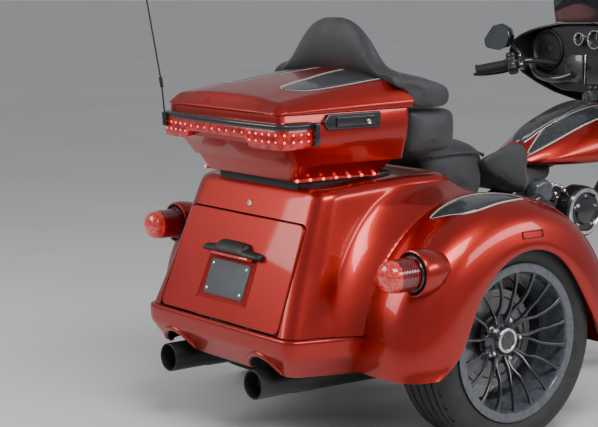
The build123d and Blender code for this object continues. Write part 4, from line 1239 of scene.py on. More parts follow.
# ---------------------------------------------------------------- tail lamps
LAMP = (0.022, -0.609, 0.579)
LENS_SIDE = [(-0.492, 0.0), (-0.492, 0.0482)]
for rib in range(6):
    LENS_SIDE += [(back + 0.01 * rib, high) for back, high in ((-0.488, 0.0494), (-0.483, 0.0494), (-0.4815, 0.0486))]
LENS_SIDE += [(-0.424, 0.0494), (-0.424, 0.0)]
LENS_END = (
    (-0.4925, 0.0), (-0.4925, 0.0478), (-0.505, 0.047), (-0.518, 0.043),
    (-0.528, 0.0335), (-0.533, 0.018), (-0.5345, 0.0),
)
BEZEL = (
    (-0.4235, 0.046), (-0.4235, 0.0525), (-0.427, 0.0548), (-0.42, 0.0575), (-0.412, 0.057), (-0.412, 0.046),
)
HOUSING = (
    (-0.408, 0.04), (-0.41, 0.058), (-0.417, 0.0605), (-0.4205, 0.064), (-0.419, 0.0685), (-0.412, 0.0712),
    (-0.4, 0.0722), (-0.385, 0.0718), (-0.365, 0.0695), (-0.34, 0.064), (-0.315, 0.056), (-0.29, 0.045),
    (-0.27, 0.028),
)
# the fender's round, carried on past its edge, and the radius inside the fender where the collar ends
FENDER_FALL = FENDER_ROUND + ((0.696, 0.17), (0.72, 0.25))
COLLAR_R = 0.449


def lamp_part(name, profile, angle):
    """A piece of the right tail lamp, turned about the lamp's own line."""
    return move(smooth(spin(name, profile, 48, ALONG), angle), *LAMP)


def make_housing():
    """Body-coloured collar that grows out of the fender behind the lamp."""
    housing = move(spin("tail_lamp_housing_right", HOUSING, 64, ALONG), *LAMP)
    for vert in housing.data.vertices:
        shell = COLLAR_R - blend_table(FENDER_FALL, -vert.co.y)[0]
        under = -math.sqrt(max(0.0, shell**2 - (vert.co.z - WHEEL_R) ** 2))
        vert.co.x = min(vert.co.x, under)
    return smooth(housing, 50)


for piece, slot, look, nodes_of in (
    (lamp_part("tail_lamp_side_right", LENS_SIDE, 30), "red_lens", "deep_lens", ["tail_lamp_lenses"]),
    (lamp_part("tail_lamp_end_right", LENS_END, 50), "red_lens", "lens_bright", []),
    (lamp_part("tail_lamp_bezel_right", BEZEL, 35), "gloss_black", None, []),
    (make_housing(), "candy_paint", None, ["tail_lamp_holders"]),
):
    place_both(piece, "chassis", slot, nodes_of, look)

# ---------------------------------------------------------------- plate, hood, lock
PLATE = ((0.074, -0.101), (0.187, -0.101), (0.187, 0.101), (0.074, 0.101))
plate = prism("plate_panel", face_ring(PLATE, 0.01, -0.018), face_ring(PLATE, 0.01, 0.0045), 0.0016)
place(plate, "door", "trim_black", ["plate_holder"], look="plate_grey")


def boss(name, up, left, rings):
    """Round piece standing out of the rear face: radius and height of each of its rings."""
    turns = [2 * math.pi * index / 24 for index in range(24)]
    lines = []
    for radius, out in rings:
        lines.append([on_face(up + radius * math.cos(turn), left + radius * math.sin(turn), out) for turn in turns])
    return solid(name, lines)


BOLT = ((0.0055, 0.003), (0.0055, 0.007), (0.0046, 0.0082), (0.0024, 0.0086), (0.0022, 0.0068))
LOCK = (
    (0.01, -0.002), (0.01, 0.002), (0.0092, 0.003), (0.007, 0.003),
    (0.0066, 0.0014), (0.003, 0.0014), (0.0028, -0.001),
)
bolts = [boss("bolt", up, left, BOLT) for up in (0.09, 0.171) for left in (-0.086, 0.086)]
place(cleaned(join("plate_bolts", bolts)), "door", *STEEL)
place(cleaned(boss("trunk_lock", 0.3795, 0.0, LOCK)), "chassis", *STEEL)

# off the middle: foot, top, how far out
HOOD = (
    (0.147, 0.207, 0.225, 0.006), (0.1455, 0.206, 0.229, 0.02), (0.14, 0.206, 0.232, 0.027),
    (0.105, 0.206, 0.2345, 0.03), (0.078, 0.207, 0.236, 0.031), (0.0735, 0.207, 0.239, 0.0316),
    (0.069, 0.2075, 0.253, 0.033), (0.064, 0.208, 0.256, 0.034), (0.02, 0.208, 0.257, 0.035),
    (0.0, 0.208, 0.257, 0.035),
)


def hood_line(left, foot, top, out):
    rise = top - foot
    profile = (
        (foot, 0.0), (foot, out * 0.97), (foot + 0.004, out), (foot + rise * 0.42, out * 0.98),
        (top - rise * 0.12, out * 0.6), (top, 0.0), ((foot + top) / 2, -0.002),
    )
    return [on_face(up, left, forth) for up, forth in profile]


half = [hood_line(*row) for row in HOOD]
other = [hood_line(-left, foot, top, out) for left, foot, top, out in HOOD]
hood = refine(solid("plate_hood", half + other[-2::-1]), 1)
place(cleaned(hood, 40), "door", "trim_black")

# Painted light: a glowing red bar under the hood stands in for the lit top wall of the plate recess, not for a lamp
RECESS_GLOW_BAR = ((0.198, -0.095), (0.2062, -0.095), (0.2062, 0.095), (0.198, 0.095))
plate_light = prism("plate_light", face_ring(RECESS_GLOW_BAR, 0.002, 0.0), face_ring(RECESS_GLOW_BAR, 0.002, 0.024), 0.001)
place(plate_light, "door", "red_lens", look="lens_bright")

# ---------------------------------------------------------------- bumper
# height, rear face, half-width at the rear corner, half-width at the side
BUMPER = (
    (0.37, -0.656, 0.374, 0.436), (0.3735, -0.664, 0.382, 0.443), (0.3715, -0.671, 0.388, 0.448),
    (0.366, -0.6745, 0.391, 0.45), (0.356, -0.675, 0.391, 0.45), (0.33, -0.6745, 0.39, 0.447),
    (0.32, -0.6735, 0.388, 0.445), (0.31, -0.669, 0.384, 0.44), (0.285, -0.656, 0.368, 0.42),
    (0.262, -0.644, 0.354, 0.404), (0.25, -0.637, 0.347, 0.396), (0.246, -0.63, 0.342, 0.39),
    (0.25, -0.62, 0.336, 0.384),
)


def bumper_line(z, rear, half, side):
    reach, bulge = -0.43 - (rear + 0.06), side - half - 0.006
    run = [
        (rear, 0.0), (rear, 0.12), (rear, 0.24), (rear + 0.001, half - 0.056), (rear + 0.006, half - 0.032),
        (rear + 0.018, half - 0.012), (rear + 0.036, half - 0.001), (rear + 0.06, half + 0.006),
        (rear + 0.06 + reach * 0.33, half + 0.006 + bulge * 0.4),
        (rear + 0.06 + reach * 0.66, half + 0.006 + bulge * 0.78), (-0.43, side), (-0.397, side),
    ]
    half = [(x, -y, z) for x, y in run[::-1]]
    return half + mirrored(half)


# the exhaust tips: off the middle plane and up; radius of the cut over each and of its rolled edge
TIP_SIDE, TIP_UP, TIP_CUT, BROW_R = 0.226, 0.219, 0.086, 0.0905


def make_bumper():
    bumper = skin("rear_bumper_shell", [bumper_line(*row) for row in BUMPER])
    refine(bumper, 2, **OPEN_EDGE)
    thicken(bumper, SHELL, -1)
    for y in (-TIP_SIDE, TIP_SIDE):
        clear()
        bpy.ops.mesh.primitive_cylinder_add(
            vertices=72, radius=TIP_CUT, depth=0.2, location=(-0.68, y, TIP_UP), rotation=(0, math.radians(90), 0)
        )
        cut_out(bumper, bpy.context.object)
    return smooth(bumper, 40)


def make_brow(name, middle):
    """Rolled edge of the bumper over an exhaust tip."""
    rings = []
    for step in range(25):
        turn = math.radians(24 + 132 * step / 24)
        rear = blend_table(BUMPER[:2:-1], TIP_UP + BROW_R * math.sin(turn))[0]
        thick = 0.0095 * min(1.0, 0.35 + 2.4 * math.sin(math.pi * step / 24))
        way = Vector((0, math.cos(turn), math.sin(turn)))
        ring = []
        for index in range(10):
            around = 2 * math.pi * index / 10
            at = Vector((rear + 0.001, middle, TIP_UP)) + way * (BROW_R + thick * math.cos(around))
            at.x -= thick * math.sin(around) * 0.9
            ring.append(at)
        rings.append(ring)
    return cleaned(solid(name, rings), 60)


place(make_bumper(), "chassis", "candy_paint", ["rear_bumper"])
for side, word in SIDES:
    place(make_brow("bumper_brow_" + word, side * TIP_SIDE), "chassis", "candy_paint")

# ---------------------------------------------------------------- tank
# along the tank: half-width, bottom, crease, how far in the crease lies, top
TANK = (
    (0.596, 0.07, 0.766, 0.776, 0.85, 0.806), (0.606, 0.084, 0.764, 0.78, 0.86, 0.818),
    (0.64, 0.11, 0.76, 0.796, 0.86, 0.842), (0.72, 0.148, 0.756, 0.832, 0.84, 0.882),
    (0.8, 0.172, 0.754, 0.864, 0.8, 0.914), (0.88, 0.185, 0.753, 0.89, 0.76, 0.94),
    (0.96, 0.189, 0.757, 0.906, 0.72, 0.956), (1.04, 0.184, 0.768, 0.908, 0.7, 0.962),
    (1.11, 0.158, 0.792, 0.898, 0.7, 0.952), (1.15, 0.124, 0.814, 0.886, 0.7, 0.94),
    (1.164, 0.096, 0.828, 0.878, 0.7, 0.93),
)


def tank_line(x, half, bottom, crease, inward, top):
    right = [
        (x, 0.0, bottom + 0.012), (x, -half * 0.6, bottom + 0.004), (x, -half * 0.9, bottom + 0.01),
        (x, -half * 0.99, bottom + 0.03), (x, -half * 0.98, bottom + (crease - bottom) * 0.55),
        (x, -half * (inward + 0.05), crease - 0.01), (x, -half * inward, crease),
        (x, -half * (inward - 0.07), crease + (top - crease) * 0.22),
        (x, -half * 0.42, crease + (top - crease) * 0.78), (x, -half * 0.24, top - 0.002),
        (x, 0.0, top),
    ]
    return right + mirrored(right)[:-1]


def lay_on(piece, ground, lift):
    """Drops a band straight down on a surface and leaves it just proud of it."""
    wrap = piece.modifiers.new("lay", "SHRINKWRAP")
    wrap.target = ground
    wrap.wrap_method = "PROJECT"
    wrap.use_project_z = True
    wrap.use_negative_direction = True
    wrap.use_positive_direction = False
    wrap.offset = lift
    work_on(piece)
    bpy.ops.object.modifier_apply(modifier="lay")
    return piece


def band_over(name, ground, lift, span, cuts, edges, point):
    """A thin band on a surface: edges gives its two sides at each cut along span, and point a place between them."""
    rows = []
    for index in range(cuts + 1):
        at = span[0] + (span[1] - span[0]) * index / cuts
        near, far = edges(at)
        rows.append([point(at, near + (far - near) * part / 6) for part in range(7)])
    return lay_on(smooth(skin(name, rows), 60), ground, lift)


def place_band(band, body, look):
    place_both(thicken(band, 0.0006, 0), body, "trim_black", look=look)


def over_tank(x, share):
    """A point over the tank's right upper face: share runs from its crease, 0, up to the console, 1."""
    half, _, _, inward, top = blend_table(TANK, x)
    return (x, -half * (inward - 0.03 + (0.25 - inward) * share), top + 0.06)


def tank_foot(x):
    return 0.17 + 0.06 * max(0.0, (x - 0.95) / 0.2)


def tank_head(x):
    return min(0.9, 0.19 + 0.76 * max(0.0, (x - 0.628) / 0.12) ** 0.7)


tank = cleaned(refine(solid("tank_shell", [tank_line(*row) for row in TANK]), 2), 60)
bands = []
for name, lift, span, edges in (
    ("tank_inlay_right", 0.0007, (0.632, 1.1), lambda x: (tank_foot(x), tank_head(x))),
    ("tank_line_low_right", 0.0009, (0.626, 1.106), lambda x: (tank_foot(x) - 0.045, tank_foot(x))),
    ("tank_line_high_right", 0.0009, (0.632, 1.106), lambda x: (tank_head(x), tank_head(x) + 0.05)),
):
    bands.append(band_over(name, tank, lift, span, 24, edges, over_tank))
for band, look in zip(bands, ("inlay_grey", "pinstripe", "pinstripe")):
    place_band(band, "chassis", look)
place(tank, "chassis", "candy_paint", ["fuel_tank"])

# along the console: half-width, foot, top
CONSOLE = (
    (0.64, 0.02, 0.82, 0.846), (0.66, 0.034, 0.834, 0.872), (0.72, 0.041, 0.868, 0.905),
    (0.8, 0.044, 0.9, 0.934), (0.88, 0.045, 0.93, 0.96), (0.94, 0.044, 0.944, 0.972),
    (0.985, 0.042, 0.95, 0.974), (1.03, 0.034, 0.952, 0.968),
)


def console_line(x, half, foot, top):
    right = [
        (x, -half, foot - 0.012), (x, -half, foot + 0.01), (x, -half * 0.94, top - 0.006), (x, -half * 0.6, top),
        (x, 0, top),
    ]
    return right + mirrored(right)


console = refine(solid("console_cover", [console_line(*row) for row in CONSOLE]), 2)
place(cleaned(console, 60), "chassis", "trim_black", ["tank_console"], look="console_grey")
for side, word in SIDES:
    run = []
    for step in range(15):
        x = 0.652 + 0.372 * step / 14
        half, foot, _ = blend_table(CONSOLE, x)
        run.append((x, side * (half + 0.001), foot + 0.012))
    place(tube("console_trim_" + word, run, 0.003, 8), "chassis", *STEEL)

# ---------------------------------------------------------------- inlay and marker on the fenders
# along the fender: the inlay's inner and outer edge
INLAY = (
    (-0.221, -0.496, -0.497), (-0.208, -0.49, -0.524), (-0.195, -0.487, -0.546), (-0.173, -0.483, -0.582),
    (-0.141, -0.482, -0.6), (-0.106, -0.483, -0.607), (-0.06, -0.487, -0.609), (-0.004, -0.51, -0.609),
    (0.029, -0.545, -0.606), (0.063, -0.595, -0.601),
)


def inlay_edges(at):
    high, low = blend_table(INLAY, at)
    return high, min(low, high - 0.0006)


def bands_on(ground, body, table, cuts, edges, point, kinds):
    """Bands over a shell that already stands in its own place.

    Each of kinds is a band's name, its two sides as taken from the table's two edges, its lift and its look.
    """
    for name, first, last, lift, look in kinds:
        band = band_over(
            name, bpy.data.objects[ground], lift, (table[0][0], table[-1][0]), cuts,
            lambda at: (first(*edges(at)), last(*edges(at))), point,
        )
        place_band(move(band, x=-REAR_AXLE), body, look)


bands_on(
    "fender_shell_right", "chassis", INLAY, 40, inlay_edges, lambda at, y: (at + REAR_AXLE, y, 0.85),
    (
        ("fender_inlay_right", lambda high, low: high, lambda high, low: low, 0.0006, "inlay_grey"),
        ("fender_line_high_right", lambda high, low: high + 0.006, lambda high, low: high, 0.0008, "pinstripe"),
        ("fender_line_low_right", lambda high, low: low, lambda high, low: low - 0.006, 0.0008, "pinstripe"),
    ),
)
MARKER = [(-0.023, -0.6912, 0.653), (0.063, -0.6908, 0.653), (0.063, -0.6858, 0.673), (-0.023, -0.6862, 0.673)]
place_both(tube("side_marker_right", MARKER + MARKER[:2], 0.0017, 8), "chassis", "trim_black")

# ---------------------------------------------------------------- fairing
# height, rear edge, nose, half-width
FAIRING = (
    (0.93, 1.292, 1.45, 0.196), (0.95, 1.225, 1.462, 0.252), (0.98, 1.158, 1.471, 0.302),
    (1.015, 1.104, 1.477, 0.342), (1.055, 1.06, 1.481, 0.38), (1.095, 1.036, 1.482, 0.405),
    (1.135, 1.028, 1.472, 0.415), (1.172, 1.034, 1.455, 0.402), (1.194, 1.05, 1.437, 0.378),
    (1.211, 1.068, 1.418, 0.346), (1.225, 1.086, 1.4, 0.302), (1.235, 1.1, 1.386, 0.256),
)
FAIRING_BROW = ((1.241, 1.12, 1.368, 0.216), (1.244, 1.15, 1.33, 0.16))
ROUNDNESS = 2.5


def fairing_line(z, rear, nose, half, inset=0.0):
    reach, wide = nose - rear - inset, half - inset
    right = []
    for step in range(23):
        turn = math.pi / 2 * step / 22
        out = wide * math.cos(turn) ** (2 / ROUNDNESS) if step < 22 else 0.0
        right.append((rear + reach * math.sin(turn) ** (2 / ROUNDNESS), -out, z))
    return right + mirrored(right)


def make_fairing():
    rows = [fairing_line(*row) for row in FAIRING + FAIRING_BROW]
    shell = refine(skin("fairing_shell", rows), 1, **OPEN_EDGE)
    return smooth(thicken(shell, SHELL, -1), 50)


def make_liner():
    liner = skin("fairing_liner", [fairing_line(*row, inset=0.011) for row in FAIRING])
    return smooth(thicken(liner, 0.0012, -1), 50)


def make_rim():
    """Rolled black edge round the back of the fairing."""
    right = [(rear - 0.001, -half + 0.002, z) for z, rear, _, half in FAIRING]
    right += [(1.108, -0.226, 1.2405), (1.114, -0.18, 1.243), (1.118, -0.1, 1.245), (1.119, 0.0, 1.2455)]
    return tube("fairing_rim", right + mirrored(right), 0.005, 10)


DASH_AT = 1.112


def dash_ring(x, shrink):
    """Outline of the inside of the fairing where the dash stands, drawn at one place along it."""
    right = []
    for z, rear, nose, half in FAIRING:
        if z < 1.02 or rear >= DASH_AT:
            continue
        share = ((DASH_AT - rear) / (nose - rear)) ** ROUNDNESS
        right.append((half * (1 - share) ** (1 / ROUNDNESS) - 0.012 - shrink, z))
    foot, top = 0.986 + shrink, 1.234 - shrink
    right = [(0.1, foot), (0.22, foot + 0.004), (0.3, foot + 0.03)] + [row for row in right if 1.026 < row[1] < 1.222]
    right += [(0.262, top - 0.004), (0.2, top), (0.1, top + 0.002)]
    return [Vector((x, -y, z)) for y, z in right] + [Vector((x, y, z)) for y, z in right[::-1]]


def make_dash():
    rings = [dash_ring(*row) for row in ((1.126, 0.002), (1.112, 0.0), (1.106, 0.006), (1.105, 0.03))]
    return cleaned(solid("dash_panel", rings), 40)


def facing_rear(name, profile, y, z, steps=56):
    """Round piece of the dash or the headlamp, turned about a line along the trike."""
    return cleaned(move(spin(name, profile, steps, ALONG), 0.0, y, z))


SPEAKER = (
    (1.108, 0.0), (1.102, 0.0), (1.104, 0.014), (1.107, 0.02), (1.107, 0.052), (1.103, 0.064), (1.099, 0.068),
    (1.095, 0.07), (1.094, 0.073), (1.097, 0.077), (1.108, 0.079),
)
# height of the gauges, and the place along the trike where everything on the dash ends
DIAL_UP = 1.187
BACKING = 1.108


def gauge(size):
    """Profiles of a gauge's ring and of its face."""
    inner, outer = size - 0.003, size + 0.005
    ring = (
        (BACKING, inner), (1.088, inner), (1.084, size - 0.001),
        (1.084, size + 0.003), (1.09, outer), (BACKING, outer),
    )
    face = (
        (BACKING, 0.0), (1.101, 0.0), (1.101, size * 0.55),
        (1.099, size * 0.57), (1.099, inner), (BACKING, inner),
    )
    return ring, face


def panel_slab(name, side, near, far, x, foot, top, edge):
    """A block on the dash between two distances from the middle plane, on one side."""
    inner, outer = sorted((side * near, side * far))
    return slab(name, (x, inner, foot), (BACKING, outer, top), edge)


fairing_pieces = [
    (make_fairing(), "candy_paint", None, ["fairing"]),
    (make_liner(), "trim_black", None, []),
    (make_rim(), "gloss_black", None, []),
    (make_dash(), "trim_black", None, ["dash"]),
]
for side, word in SIDES:
    fairing_pieces.append((facing_rear("speaker_" + word, SPEAKER, side * 0.286, 1.14), "trim_black", None, []))
    for size, y, kind in ((0.032, 0.04, "large"), (0.021, 0.118, "small")):
        end, y = f"_{kind}_{word}", side * y
        ring, face = gauge(size)
        needle = ((1.0955, y - 0.0007, DIAL_UP), (1.0968, y + 0.0007, DIAL_UP + size * 0.72))
        fairing_pieces += [
            (facing_rear("gauge_ring" + end, ring, y, DIAL_UP), "disc_steel", "polished_steel", []),
            (facing_rear("gauge_face" + end, face, y, DIAL_UP), "trim_black", None, []),
            (slab("gauge_needle" + end, *needle, 0.0004), "trim_black", "pinstripe", []),
        ]
    locker = panel_slab("dash_locker_" + word, side, 0.105, 0.198, 1.097, 1.022, 1.128, 0.006)
    edge = panel_slab("display_edge_" + word, side, 0.088, 0.094, 1.094, 1.02, 1.13, 0.002)
    fairing_pieces += [(locker, "trim_black", "console_grey", []), (edge, "disc_steel", "polished_steel", [])]
display = slab("display", (1.096, -0.086, 1.02), (BACKING, 0.086, 1.13), 0.004)
keys = []
for index in range(6):
    across = 0.0265 * index
    keys.append(slab("key", (1.092, -0.078 + across, 1.0045), (BACKING, -0.0585 + across, 1.0145), 0.002))
fairing_pieces += [
    (display, "gloss_black", None, []),
    (join("display_keys", keys), "trim_black", "console_grey", []),
]
for piece, slot, look, nodes_of in fairing_pieces:
    place(piece, "steering", slot, nodes_of, look)

# ---------------------------------------------------------------- windshield
# height, half-width, rear edge, middle
SCREEN = (
    (1.218, 0.312, 1.176, 1.366), (1.25, 0.314, 1.168, 1.356), (1.3, 0.312, 1.156, 1.341),
    (1.35, 0.304, 1.142, 1.324), (1.39, 0.288, 1.132, 1.31), (1.415, 0.262, 1.128, 1.302),
    (1.43, 0.22, 1.144, 1.297), (1.438, 0.16, 1.184, 1.294),
)


def screen_line(z, half, rear, middle):
    shares = [step / 12 for step in range(-12, 13)]
    return [(rear + (middle - rear) * (1 - abs(share) ** 2.1), half * share, z) for share in shares]


screen = skin("windshield_pane", [screen_line(*row) for row in SCREEN])
refine(screen, 1, **OPEN_EDGE)
place(smooth(thicken(screen, 0.004, 0), 50), "steering", "smoked_screen", ["windshield"])
edge_points = [(x, y, z + 0.002) for x, y, z in screen_line(1.238, 0.315, 1.17, 1.36)]
place(tube("windshield_trim", edge_points, 0.0062, 10), "steering", "gloss_black")

# ---------------------------------------------------------------- mirrors
MIRROR = (
    (0.524, 1.171), (0.503, 1.142), (0.42, 1.136), (0.364, 1.152),
    (0.344, 1.192), (0.358, 1.226), (0.402, 1.24), (0.458, 1.229),
)
MIRROR_MIDDLE = Vector((0, -0.43, 1.186))
MIRROR_TILT = -0.22
# through the mirror's head: place along the trike, how much smaller than the outline
MIRROR_RUN = (
    (0.973, 0.075), (0.971, 0.055), (0.969, 0.03), (0.972, 0.004), (0.98, 0.0),
    (0.996, 0.06), (1.01, 0.18), (1.02, 0.38), (1.024, 0.65),
)


def mirror_ring(x, shrink):
    ring = []
    for point in rounded([(0, -y, z) for y, z in MIRROR], 0.022, 3):
        point = MIRROR_MIDDLE + (point - MIRROR_MIDDLE) * (1 - shrink)
        ring.append(Vector((x + (point.y - MIRROR_MIDDLE.y) * MIRROR_TILT, point.y, point.z)))
    return ring


glass = prism("mirror_glass_right", mirror_ring(0.9725, 0.07), mirror_ring(0.9712, 0.072))
STALK = [(1.008, -0.318, 1.098), (1.012, -0.336, 1.122), (1.01, -0.368, 1.146), (1.01, -0.405, 1.172)]
stalk = tube("mirror_stalk_right", curve_through(STALK, 6), 0.0062, 10)
head = cleaned(solid("mirror_head_right", [mirror_ring(*row) for row in MIRROR_RUN]), 50)
for piece, slot, look, nodes_of in (
    (head, "gloss_black", None, ["mirrors"]),
    (glass, "disc_steel", "mirror_glass", []),
    (stalk, "gloss_black", None, []),
):
    place_both(piece, "steering", slot, nodes_of, look)

# ---------------------------------------------------------------- grips and switches
GRIP_FROM = Vector((0.955, -0.36, 1.085))
GRIP_TO = Vector((0.876, -0.446, 1.061))


def along_grip(piece):
    """Carries a piece drawn along +X to the grip, its start at the grip's inner end."""
    work_on(piece)
    piece.rotation_mode = "QUATERNION"
    piece.rotation_quaternion = Vector((1, 0, 0)).rotation_difference((GRIP_TO - GRIP_FROM).normalized())
    piece.location = GRIP_FROM
    bpy.ops.object.transform_apply()
    return piece


GRIP_SIDE = [(0.0, 0.0), (0.0, 0.0215), (0.004, 0.0225), (0.006, 0.0195)]
for rib in range(10):
    foot = 0.008 + rib * 0.0098
    GRIP_SIDE += [(foot, 0.0185), (foot + 0.0012, 0.0195), (foot + 0.0064, 0.0195), (foot + 0.0076, 0.0185)]
GRIP_SIDE += [(0.108, 0.0185), (0.11, 0.0215), (0.116, 0.0215), (0.1185, 0.0185), (0.119, 0.0)]
grip = along_grip(smooth(spin("grip_cover_right", GRIP_SIDE, 28, ALONG)))
pod = along_grip(slab("switch_pod_right", (-0.04, -0.026, -0.036), (-0.002, 0.03, 0.04), 0.01, 3))
seam = along_grip(slab("switch_seam_right", (-0.0405, -0.0265, -0.0012), (-0.0015, 0.0305, 0.0012), 0.0004))
clamp = along_grip(slab("lever_clamp_right", (-0.066, -0.02, -0.026), (-0.046, 0.022, 0.026), 0.006, 3))
# along the bar, up, length, height
BUTTONS = (
    (-0.034, 0.022, 0.01, 0.009), (-0.018, 0.022, 0.01, 0.009), (-0.034, 0.006, 0.01, 0.008),
    (-0.018, 0.006, 0.01, 0.008), (-0.03, -0.016, 0.018, 0.01),
)
buttons = [slab("button", (x, -0.0302, z), (x + wide, -0.0242, z + tall), 0.0018) for x, z, wide, tall in BUTTONS]
keys = along_grip(join("switch_buttons_right", buttons))
heads = along_grip(beads("clamp_bolts_right", [(-0.056, -0.02, z, 0.006) for z in (-0.018, 0.018)]))
LEVER = [
    (1.012, -0.33, 1.082), (1.004, -0.372, 1.066), (0.974, -0.412, 1.052), (0.93, -0.458, 1.044),
    (0.905, -0.486, 1.044),
]
lever = tube("lever_right", curve_through(LEVER, 6), 0.006, 10)
for piece, slot, look, nodes_of in (
    (grip, "grip_rubber", None, ["grips"]),
    (pod, "trim_black", None, []),
    (seam, "gloss_black", None, []),
    (clamp, "gloss_black", None, []),
    (keys, "trim_black", "console_grey", []),
    (heads, "disc_steel", "polished_steel", []),
    (lever, "gloss_black", None, []),
):
    place_both(piece, "steering", slot, nodes_of, look)

# below the speakers, a rolled edge and the ignition cover at the tank's head
ROLL = ((1.08, 0.352, 1.084), (1.074, 0.314, 1.05), (1.072, 0.262, 1.036), (1.076, 0.2, 1.036), (1.09, 0.15, 1.052))
for side, word in SIDES:
    run = curve_through([(x, side * y, z) for x, y, z in ROLL], 5)
    place(tube("dash_roll_" + word, run, 0.0145, 14), "steering", "gloss_black", look="inlay_grey")
IGNITION = ((-0.02, 0.0), (-0.02, 0.03), (0.0, 0.034), (0.006, 0.031), (0.008, 0.024), (0.006, 0.022), (0.006, 0.0))
ignition = spin("ignition_cover", IGNITION, 40)
work_on(ignition)
ignition.rotation_euler = (math.radians(-90), math.radians(-20), 0)
ignition.location = (1.034, 0.0, 0.977)
bpy.ops.object.transform_apply()
place(cleaned(ignition), "chassis", "gloss_black", look="console_grey")

# ---------------------------------------------------------------- lid inlay
# along the lid: the inlay's outer and inner edge
LID_INLAY = (
    (-0.514, 0.156, 0.15), (-0.508, 0.172, 0.135), (-0.494, 0.194, 0.121), (-0.47, 0.214, 0.113),
    (-0.432, 0.228, 0.106), (-0.388, 0.234, 0.1), (-0.317, 0.237, 0.08), (-0.25, 0.236, 0.067),
    (-0.2, 0.236, 0.062),
)
bands_on(
    "box_lid_shell", "lid", LID_INLAY, 32, lambda at: blend_table(LID_INLAY, at),
    lambda at, y: (at + REAR_AXLE, -y, 1.25),
    (
        ("lid_inlay_right", lambda low, high: low, lambda low, high: min(high, low - 0.0006), 0.0006, "inlay_grey"),
        ("lid_line_low_right", lambda low, high: low + 0.006, lambda low, high: low, 0.0008, "pinstripe"),
        ("lid_line_high_right", lambda low, high: high, lambda low, high: high - 0.006, 0.0008, "pinstripe"),
    ),
)
for side, word in SIDES:
    inner, outer = sorted((side * 0.313, side * 0.334))
    end = slab("band_end_" + word, (-0.532, inner, 0.934), (-0.514, outer, 1.004), 0.004, 3)
    place(end, "chassis", "gloss_black")

# ---------------------------------------------------------------- box under-tray and trunk liner
place(slab("box_tray", (-0.5, -0.205, 0.778), (-0.12, 0.205, 0.822), 0.012), "chassis", "trim_black")


def liner_ring(x, inset=0.0):
    low, high, half = 0.395 + inset, 0.655 - inset, 0.284 - inset
    return rounded([(x, -half, low), (x, half, low), (x, half, high), (x, -half, high)], 0.02, 4)


back = [Vector((rear_x(point.z) + 0.028, point.y, point.z)) for point in liner_ring(0)]
rows = [back, liner_ring(-0.4), liner_ring(-0.185), liner_ring(-0.165, 0.02)]
liner = skin("trunk_liner", rows, closed=True, end_cap=True, crease_caps=False)
place(smooth(thicken(liner, 0.003, 1)), "chassis", "trim_black")

# ---------------------------------------------------------------- exhausts
MUFFLER = (
    (0.318, 0.02), (0.3, 0.024), (0.27, 0.042), (0.24, 0.048), (-0.54, 0.048), (-0.56, 0.0455), (-0.6, 0.0455),
    (-0.68, 0.046), (-0.688, 0.0455), (-0.69, 0.0435), (-0.688, 0.0415), (-0.66, 0.04), (-0.64, 0.039),
    (-0.636, 0.03), (-0.636, 0.0),
)
for side, word in SIDES:
    pipe = move(spin("muffler_" + word, MUFFLER, 56, ALONG), 0.0, side * TIP_SIDE, 0.217)
    edit(pipe)
    pick("VERT", lambda at: at.x > 0.2)
    bpy.ops.transform.translate(value=(0, 0, -0.011))
    done()
    place(cleaned(pipe), "chassis", "exhaust_black", ["mufflers"] if side == -1 else [])

# ---------------------------------------------------------------- engine covers
CLEANER = (
    (-0.12, 0.0), (-0.12, 0.084), (-0.13, 0.092), (-0.172, 0.092), (-0.184, 0.089), (-0.19, 0.082),
    (-0.19, 0.07), (-0.184, 0.064), (-0.184, 0.048), (-0.192, 0.042), (-0.196, 0.026), (-0.196, 0.0),
)
CLEANER_RING = ((-0.1905, 0.0835), (-0.1925, 0.081), (-0.1925, 0.071), (-0.19, 0.069), (-0.188, 0.076))
SCREW = (
    (-0.183, 0.0), (-0.183, 0.0052), (-0.1885, 0.0052), (-0.1895, 0.004), (-0.1895, 0.0022), (-0.187, 0.0018),
    (-0.187, 0.0),
)
CLEANER_X, CLEANER_Z = 0.806, 0.6
dome = move(spin("air_cleaner_cover", CLEANER, 72), CLEANER_X, 0.0, CLEANER_Z)
place(cleaned(dome), "chassis", "gloss_black", ["air_cleaner"])
ring = move(spin("air_cleaner_trim", CLEANER_RING, 72), CLEANER_X, 0.0, CLEANER_Z)
place(cleaned(ring), "chassis", *STEEL)
screws = []
for index in range(5):
    turn = 2 * math.pi * index / 5 + 0.3
    x, z = CLEANER_X + 0.056 * math.cos(turn), CLEANER_Z + 0.056 * math.sin(turn)
    screws.append(move(spin("screw", SCREW, 16), x, 0.0, z))
place(cleaned(join("air_cleaner_screws", screws)), "chassis", *STEEL)


def side_cover(name, corners, radius, near, far):
    """Pillow-shaped side panel, drawn in the side view and rounded in towards its outer face."""
    middle = Vector((sum(x for x, z in corners) / len(corners), 0, sum(z for x, z in corners) / len(corners)))
    rows = []
    for share, shrink in ((0.0, 0.02), (0.35, 0.0), (0.7, 0.03), (0.9, 0.1), (0.98, 0.22), (1.0, 0.42)):
        y = near + (far - near) * share
        flat = [middle + (point - middle) * (1 - shrink) for point in side_outline(corners, radius, 0)]
        rows.append([Vector((point.x, y, point.z)) for point in flat])
    return cleaned(refine(solid(name, rows), 1), 50)


SIDE_COVER = ((0.425, 0.475), (0.605, 0.48), (0.645, 0.64), (0.56, 0.69), (0.445, 0.655))
side_panel = side_cover("side_panel_right", SIDE_COVER, 0.03, -0.178, -0.212)
place_both(side_panel, "chassis", "gloss_black", ["side_covers"])
COIL_COVER = ((0.578, 0.64), (0.678, 0.64), (0.682, 0.7), (0.65, 0.728), (0.59, 0.716))
place(side_cover("coil_cover", COIL_COVER, 0.026, -0.09, -0.158), "chassis", "gloss_black", look="lip_black")

